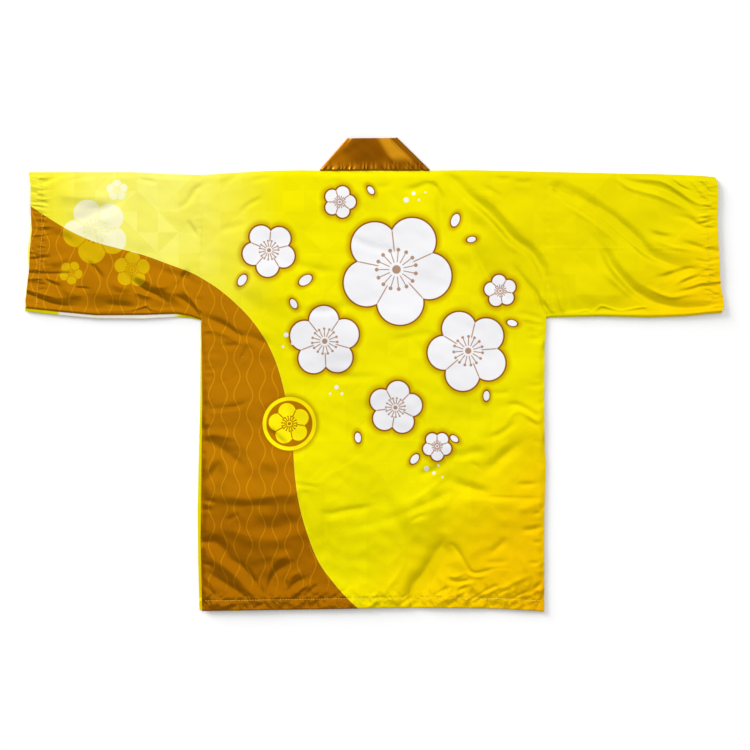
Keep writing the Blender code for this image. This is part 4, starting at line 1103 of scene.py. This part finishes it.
def hem_gathers(tree, shader, x, y):
    """The smallest gathers that the hem's stitching draws up, as bump over the mesh's own."""
    join = add(tree, "CombineXYZ", {0: x * 0.075 + y * 0.02, 1: y * 0.05})
    noise = add(tree, "TexNoise", {"Vector": join.outputs[0], "Scale": 1.0, "Detail": 2.0})
    near = (y + 424.0).op("ABSOLUTE").over(27.0, 3.0)
    height = (Sum(tree, noise.outputs[0]) - 0.5) * near
    before = shader.inputs["Normal"].links[0].from_socket
    bump = add(tree, "Bump", {"Height": height, "Distance": 0.0022, "Strength": 1.0, "Normal": before})
    fill(tree, shader, {"Normal": bump.outputs[0]})


def named(tree, label):
    return Sum(tree, add(tree, "Attribute", attribute_name=label).outputs["Fac"])


def paned(tree, x, y):
    """Faint squares, each split into two triangles, as an uneven tone from -1 to 1."""
    size = 39.0
    u, v = x / size + 0.35, y / size + 0.2
    i, j = u.op("FLOOR"), v.op("FLOOR")
    fu, fv = u - i, v - j
    turn = (i + j).op("MODULO", 2.0).op("ABSOLUTE")
    half_a = fu.op("GREATER_THAN", fv)
    half_b = (fu + fv).op("GREATER_THAN", 1.0)
    half = turn.op("LESS_THAN", 0.5) * half_a + turn.op("GREATER_THAN", 0.5) * half_b
    join = add(tree, "CombineXYZ", {0: i, 1: j, 2: half})
    noise = add(tree, "TexWhiteNoise", {"Vector": join.outputs[0]})
    return (Sum(tree, noise.outputs["Value"]) - 0.5) * 2.0


def brightened(tree, colour, value):
    return add(tree, "HueSaturation", {"Color": colour, "Value": value}).outputs[0]


def tatewaku(x, y):
    """Rising-steam lines: upright waves, each the mirror of the next. 1 on a line."""
    turn = (y + 73.3) * (2 * np.pi / 70.0)
    sway = turn.op("COSINE") * 5.75
    lean = (turn.op("SINE") * 0.516).op("POWER", 2.0) + 1.0
    lean = lean.op("SQRT")

    def family(shifted):
        return (shifted.op("WRAP", 47.4, 0.0) - 23.7).op("ABSOLUTE")

    one = family(x - sway + (303.3 + 23.7))
    two = family(x + sway + (279.6 + 23.7))
    return (one.least(two) / lean).over(1.35, 0.55)


# White flowers and petals of the print. Columns: x, y, radius, turn.
FLOWERS = (
    (42, 196, 104, 0.2), (-92, 62, 66, 0.9), (176, 44, 76, 0.55), (40, -62, 50, 1.1),
    (-196, 232, 50, 0.4), (-64, 322, 30, 0.0), (236, 156, 30, 0.8), (118, -134, 27, 0.3),
)  # fmt: skip
# Pale see-through blossoms on the left sleeve, and a roundel on the sweep's edge.
GHOSTS = ((-520, 268, 62, 0.5), (-452, 196, 34, 1.0), (-566, 190, 22, 0.2), (-480, 344, 20, 0.9))
ROUNDEL = (-158.0, -92.0, 50.0)  # x, y, radius
SPECKS = (  # x, y, radius
    (-164, 74, 4.5), (-152, 58, 3.0), (-170, 52, 2.2), (60, 326, 5.0), (74, 338, 3.4), (84, 326, 2.2),
    (96, 340, 1.8), (98, -176, 4.6), (112, -184, 3.2), (120, -170, 2.2), (128, -192, 1.8),
    (-70, -24, 4.0), (-60, -36, 2.6), (-82, -36, 2.0),
)  # fmt: skip
# Loose petals. Columns: x, y, length, turn.
PETALS = (
    (-128, 176, 13, 0.6), (-150, 132, 9, 2.1), (152, 288, 12, 1.2), (182, 252, 8, 0.2),
    (150, -120, 8, 2.5), (76, -158, 10, 0.9), (-30, -118, 9, 1.7), (258, 96, 9, 2.9),
    (-246, 176, 11, 1.0), (-6, 344, 8, 2.2), (210, -40, 9, 1.5),
)  # fmt: skip


def flower(x, y, cx, cy, radius, turn):
    """A five-petalled blossom: distance outside its outline, and its inner lines."""
    dx, dy = x - cx, y - cy
    angle = dy.op("ARCTAN2", dx) + turn
    r = distance(dx, dy)
    sector = 2 * np.pi / 5
    bent = angle.op("WRAP", sector / 2, -sector / 2)
    px = r * bent.op("COSINE") - 0.60 * radius
    py = r * bent.op("SINE")
    petal = (px * px + py * py * 0.92).op("SQRT") - 0.395 * radius
    edge = petal.least(r - 0.42 * radius)
    # a line between each two petals
    between = (bent.op("ABSOLUTE") * -1.0 + sector / 2).op("SINE") * r
    line = between.over(1.5, 0.7) * r.over(0.30 * radius, 0.36 * radius)
    line = line * r.over(0.74 * radius, 0.66 * radius)
    # fifteen stamens with their tips, and the heart
    small = 2 * np.pi / 15
    comb = angle.op("WRAP", small / 2, -small / 2)
    sx = r * comb.op("COSINE")
    sy = (r * comb.op("SINE")).op("ABSOLUTE")
    stamen = sy.over(1.3, 0.6) * r.over(0.12 * radius, 0.14 * radius)
    stamen = stamen * r.over(0.34 * radius, 0.31 * radius)
    tip = ((sx - 0.355 * radius).op("POWER", 2.0) + sy * sy).op("SQRT")
    tip = tip.over(0.032 * radius + 0.6, 0.032 * radius)
    heart = r.over(0.085 * radius, 0.07 * radius)
    return edge, line.most(stamen).most(tip).most(heart)


def yellow_ground(tree, x, y, tone):
    """Yellow, paler towards the left sleeve, deeper on the upper right as painted shade, and warmer
    towards the lower right, with faint panes.
    """
    pale = x.over(-160.0, -420.0) * y.over(60.0, 260.0) * (x.over(-600.0, -500.0) * 0.75 + 0.25)
    slant = x - y * 0.9
    colour = layered(
        tree, mixed(tree, pale * (tone * 0.15 + 0.8), YELLOW, PALE),
        # deeper yellow on the upper right: painted shade
        (x.over(60.0, 300.0) * y.over(20.0, 170.0) * 0.6, srgb(218, 200, 2)),
        (slant.over(240.0, 590.0) * 0.97, ORANGE),
        (slant.over(600.0, 720.0) * 0.8, srgb(226, 162, 2)),
    )  # fmt: skip
    return brightened(tree, colour, tone * 0.03 + 0.99)


def blossoms(tree, x, y, colour):
    """A roundel, then white flowers with a soft brown glow and a brown outline, then white specks."""
    rx, ry, size = ROUNDEL
    far = distance(x - rx, y - ry)
    bloom, marks = flower(x, y, rx, ry, 0.78 * size, 0.75)
    ring = far.over(0.86 * size - 0.5, 0.86 * size + 0.5)
    gold = ring.most(bloom.over(0.5, -0.5) * (marks * -1.0 + 1.0))
    disc = mixed(tree, gold, BROWN, srgb(238, 220, 12))
    edges, lines = zip(*(flower(x, y, *row) for row in FLOWERS))
    petals = []
    for px, py, length, turn in PETALS:
        c, s = np.cos(turn), np.sin(turn)
        dx, dy = x - px, y - py
        u, v = dx * c + dy * s, dy * c - dx * s
        petals.append((u * u + v * v * 2.6).op("SQRT") - length)
    edge = joined("MINIMUM", [*edges, *petals])
    spots = joined("MINIMUM", [distance(x - sx, y - sy) - radius for sx, sy, radius in SPECKS])
    return layered(
        tree, colour,
        ((far - size).over(11.0, -1.0) * 0.6, srgb(150, 90, 2)),
        ((far - size).over(0.5, -0.5), disc),
        (edge.over(15.0, 1.5) * 0.62, srgb(170, 106, 2)),
        (edge.over(3.4, 2.6), DARK),
        (edge.over(0.5, -0.3), WHITE),
        (joined("MAXIMUM", lines) * 0.8, srgb(150, 92, 10)),
        (spots.over(0.5, -0.5) * 0.9, WHITE),
    )  # fmt: skip


def printed_satin(name):
    """The back and sleeves: yellow with a brown sweep at the lower left, and white flowers."""
    material, tree, shader, x, y = satin_base(name, GOLD_SHEEN)
    hem_gathers(tree, shader, x, y)
    tone, sweep = paned(tree, x, y), named(tree, "sweep")
    ghosts = []
    for row in GHOSTS:
        outline, marks = flower(x, y, *row)
        ghosts.append(outline.over(0.6, -0.6) * (marks * -0.6 + 1.0))
    ghost = joined("MAXIMUM", ghosts)
    # brown with its wave lines, both darker below the broad fold near y -229 as painted shade
    waves = tatewaku(x, y) * (y.over(-300.0, -180.0) * 0.15 + 0.45) * y.over(-412.0, -380.0)
    brown = mixed(tree, y.over(-205.0, -290.0), BROWN, BROWN_FOLD_SHADE)
    brown = layered(tree, brown, (waves, WAVE), (ghost * 0.8, srgb(206, 172, 8)))
    colour = layered(
        tree, yellow_ground(tree, x, y, tone),
        (ghost * 0.72, srgb(240, 238, 216)),
        (sweep.over(1.8, 0.6) * 0.12, PALE),
    )  # fmt: skip
    colour = mixed(tree, sweep.over(-0.45, 0.45), brown, colour)
    colour = blossoms(tree, x, y, colour)
    # the under side of the sleeves and the rolled shoulders, and the paler inside
    strip = (x.over(-592.0, -586.0) * x.over(-360.0, -380.0)) * y.over(150.0, 128.0)
    plain = mixed(tree, strip, YELLOW, srgb(244, 240, 226))
    plain = mixed(tree, tone * 0.03 + 0.03, plain, ORANGE)
    colour = mixed(tree, named(tree, "behind"), colour, plain)
    inside = mixed(tree, 0.45, colour, srgb(247, 240, 178))
    colour = mixed(tree, named(tree, "inside"), colour, inside)
    # the deep colour shows more of the satin's lustre
    deep = sweep.over(1.0, -1.0)
    looks = {"Base Color": colour, "Metallic": deep * 0.22 + 0.62, "Roughness": deep * -0.08 + 0.37}
    fill(tree, shader, looks)
    return material


def front_satin(name):
    """The fronts: plain yellow with the same faint panes."""
    material, tree, shader, x, y = satin_base(name, GOLD_SHEEN)
    colour = mixed(tree, y.over(-150.0, -420.0) * 0.55, YELLOW, ORANGE)
    colour = brightened(tree, colour, paned(tree, x, y) * 0.022 + 1.0)
    fill(tree, shader, {"Base Color": colour})
    return material


def collar_satin(name):
    """The band: brown satin, with a painted sheen where it is golden and painted shade where it is dark.
    """
    material, tree, shader, x, y = satin_base(name, BROWN_SHEEN, 0.4, 0.78)
    noise = add(tree, "TexNoise", {"Vector": on_cloth(tree), "Scale": 9.0})
    spread = Sum(tree, noise.outputs[0]).over(0.35, 0.7)
    # painted shade before the twist, a painted sheen beyond it, and painted shade along the right edge
    behind_neck = y.over(381.0, 386.0)
    dx, dy = (x + 14.0) / 48.0, (y - 418.0) / 30.0
    painted_shade = (dx * dx + dy * dy).over(1.3, 0.2) * behind_neck
    painted_sheen = (x + y * 0.64 - 289.0).over(-6.0, 8.0) * y.over(390.0, 412.0)
    # a painted highlight on the gathers' crests and painted shade between them
    along = (x - NECK_L) / (NECK_R - NECK_L)
    wave = gather_wave(along, lambda value: value.op("SINE"))
    fold = (wave * np.pi).op("SINE").op("ABSOLUTE")
    near_seam = y.over(402.0, 384.0) * behind_neck
    colour = layered(
        tree, mixed(tree, spread * 0.4, srgb(154, 92, 3), srgb(174, 108, 8)),
        (painted_shade * 0.75, BROWN_PAINTED_SHADE),
        (painted_sheen * 0.75, srgb(206, 144, 24)),
        ((x + y).over(468.0, 476.0) * 0.85 * behind_neck, BROWN_PAINTED_SHADE),
        (fold.over(0.6, 0.1) * near_seam * 0.55, srgb(106, 58, 2)),
        (fold.over(0.75, 1.0) * near_seam * 0.5, srgb(206, 144, 34)),
    )  # fmt: skip
    fill(tree, shader, {"Base Color": colour})
    return material


def thread(name, colour):
    """A sewing thread: matt, and a little darker in places."""
    material, tree, shader = new_material(name)
    place = add(tree, "TexCoord").outputs["Object"]
    noise = add(tree, "TexNoise", {"Vector": place, "Scale": 900.0})
    spread = Sum(tree, noise.outputs[0]).over(0.3, 0.7)
    shade = mixed(tree, spread, tuple(0.8 * c for c in colour), colour)
    looks = {"Base Color": shade, "Roughness": 0.55, "Specular IOR Level": 0.2, "Sheen Weight": 0.1}
    fill(tree, shader, looks)
    return material


# Edge of the brown sweep, from the left cuff down to the hem.
SWEEP = (  # x, y
    (-700, 356), (-642, 315), (-609, 293), (-564, 266), (-520, 247), (-475, 234.7), (-431, 223),
    (-386, 206.7), (-341, 190), (-314, 175), (-288, 157.7), (-261, 135), (-234, 108), (-212, 79),
    (-194, 48), (-178, 7.7), (-164, -47.7), (-153, -108), (-148, -185), (-139, -246),
    (-123, -302), (-103, -351), (-74, -391), (-46, -422), (-8, -456),
)  # fmt: skip


def mark_sweep(obj):
    """Stores each point's distance from the sweep's edge: positive on the yellow side."""
    mesh = obj.data
    points = np.empty(len(mesh.vertices) * 3)
    mesh.vertices.foreach_get("co", points)
    points = points.reshape(-1, 3) / MM
    offset, _ = beside(points[:, 0], points[:, 1], run_of(SWEEP))
    mesh.attributes.new("sweep", "FLOAT", "POINT").data.foreach_set("value", offset)


# ---------------------------------------------------------------- stitching
PITCH, STITCH, THICK = 5.2, 3.8, 0.5  # from stitch to stitch, a stitch's length and half its thickness
# Rings of one stitch. Columns: share of its length, size, height over the cloth.
STITCH_RINGS = ((0, 0.25, -0.25), (0.18, 0.9, 0.1), (0.5, 1.0, 0.2), (0.82, 0.9, 0.1), (1, 0.25, -0.25))
SIDES = 6


def stitches(name, run, material):
    """Short threads along a run of points, lying on the cloth."""
    points, faces = [], []
    ring = np.radians(np.arange(0, 360, 360 // SIDES))
    gaps = np.linalg.norm(np.diff(run, axis=0), axis=1)
    along = np.concatenate([[0], np.cumsum(gaps)])
    for start in np.arange(PITCH / 2, along[-1] - STITCH, PITCH):
        a, b = (
            np.array([np.interp(place, along, run[:, k]) for k in range(3)])
            for place in (start, start + STITCH)
        )
        way = (b - a) / np.linalg.norm(b - a)
        cross = np.cross(way, (0, 0, 1))
        up = np.cross(cross, way)
        first = len(points)
        for q, size, rise in STITCH_RINGS:
            centre = a + (b - a) * q + up * rise * THICK
            for turn in ring:
                points.append(centre + size * THICK * (cross * np.cos(turn) + up * np.sin(turn)))
        last = first + SIDES * (len(STITCH_RINGS) - 1)
        for low in range(first, last, SIDES):
            for m in range(SIDES):
                n = (m + 1) % SIDES
                faces.append([low + m, low + n, low + SIDES + n, low + SIDES + m])
        faces.append([first + m for m in range(SIDES - 1, -1, -1)])
        faces.append([last + m for m in range(SIDES)])
    return new_piece(name, np.array(points) * MM, faces, material)


def on_top(x, y, raise_by=0.22):
    """A run of stitching on the upper face."""
    return np.stack([x, y, top(x, y) + raise_by], 1)


# ---------------------------------------------------------------- build
satin = printed_satin("printed_satin")
front_cloth = front_satin("front_satin")
band_cloth = collar_satin("collar_satin")
back = make_back(satin)
front_l = make_front("front_left_satin", -1, BAND_SEAM_L, front_cloth)
front_r = make_front("front_right_satin", 1, BAND_SEAM_R, front_cloth)
sleeve_l = make_sleeve("sleeve_left_satin", -1, satin)
sleeve_r = make_sleeve("sleeve_right_satin", 1, satin)
collar = make_collar(band_cloth)
for piece, node in (
    (back, "back"), (front_l, "front_left"), (front_r, "front_right"),
    (sleeve_l, "sleeve_left"), (sleeve_r, "sleeve_right"), (collar, "collar"),
):  # fmt: skip
    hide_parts(node)
for piece in (back, sleeve_l, sleeve_r):
    mark_sweep(piece)

tan, lemon = thread("tan_thread", srgb(240, 188, 56)), thread("lemon_thread", srgb(246, 230, 60))
plain = thread("yellow_thread", srgb(224, 200, 3))
# tan on the brown and lemon on the yellow
x = np.arange(-318, 315, 1.5)
run, brown = on_top(x, at(HEM_EDGE, x) + HEM), x < -43
stitches("hem_stitch_tan", run[brown], tan)
stitches("hem_stitch_lemon", run[~brown], lemon)
y = np.arange(130, 374, 1.5)
run, brown = on_top(at(CUFF_L, y) + CUFF, y), y < 306
stitches("cuff_left_stitch_tan", run[brown], tan)
stitches("cuff_left_stitch_lemon", run[~brown], lemon)
y = np.arange(122, 366, 1.5)
stitches("cuff_right_stitch", on_top(at(CUFF_R, y) - CUFF, y, 0.02), plain)

# ---------------------------------------------------------------- stage, light and camera
FLOOR, FLOOR_Z = 40, -0.0001  # half its width and its height, in metres
corners = [(a * FLOOR, b * FLOOR, FLOOR_Z) for a, b in ((-1, -1), (1, -1), (1, 1), (-1, 1))]
floor_mesh = bpy.data.meshes.new("floor")
floor_mesh.from_pydata(corners, [], [(0, 1, 2, 3)])
floor = bpy.data.objects.new("floor", floor_mesh)
bpy.context.scene.collection.objects.link(floor)
floor_look, tree, shader = new_material("floor")
fill(tree, shader, {"Base Color": (1.0, 1.0, 1.0), "Roughness": 0.9})
floor_mesh.materials.append(floor_look)

world = bpy.data.worlds.new("studio")
bpy.context.scene.world = world
world.use_nodes = True
sky = world.node_tree.nodes["Background"]
fill(world.node_tree, sky, {"Color": (1.0, 1.0, 1.0), "Strength": 0.385})

# From the upper left: a broad low light for the soft shadows and a higher, smaller one for the lustre.
for label, energy, angle, azimuth, height in (
    ("low_sun", 3.25, 30, 138, 18),
    ("soft_box", 1.09, 71, 80, 65),
):
    sun = bpy.data.lights.new(label, "SUN")
    sun.energy = energy
    sun.angle = np.radians(angle)
    made = bpy.data.objects.new(label, sun)
    made.rotation_euler = (np.radians(90 - height), 0, np.radians(azimuth + 90))
    bpy.context.scene.collection.objects.link(made)

camera = bpy.data.cameras.new("camera")
camera.lens = 100
camera.sensor_width = 36
camera_obj = bpy.data.objects.new("camera", camera)
camera_obj.location = (0.0019, -0.0011, 3.897)
bpy.context.scene.collection.objects.link(camera_obj)
bpy.context.scene.camera = camera_obj
bpy.context.scene.view_settings.view_transform = "Standard"
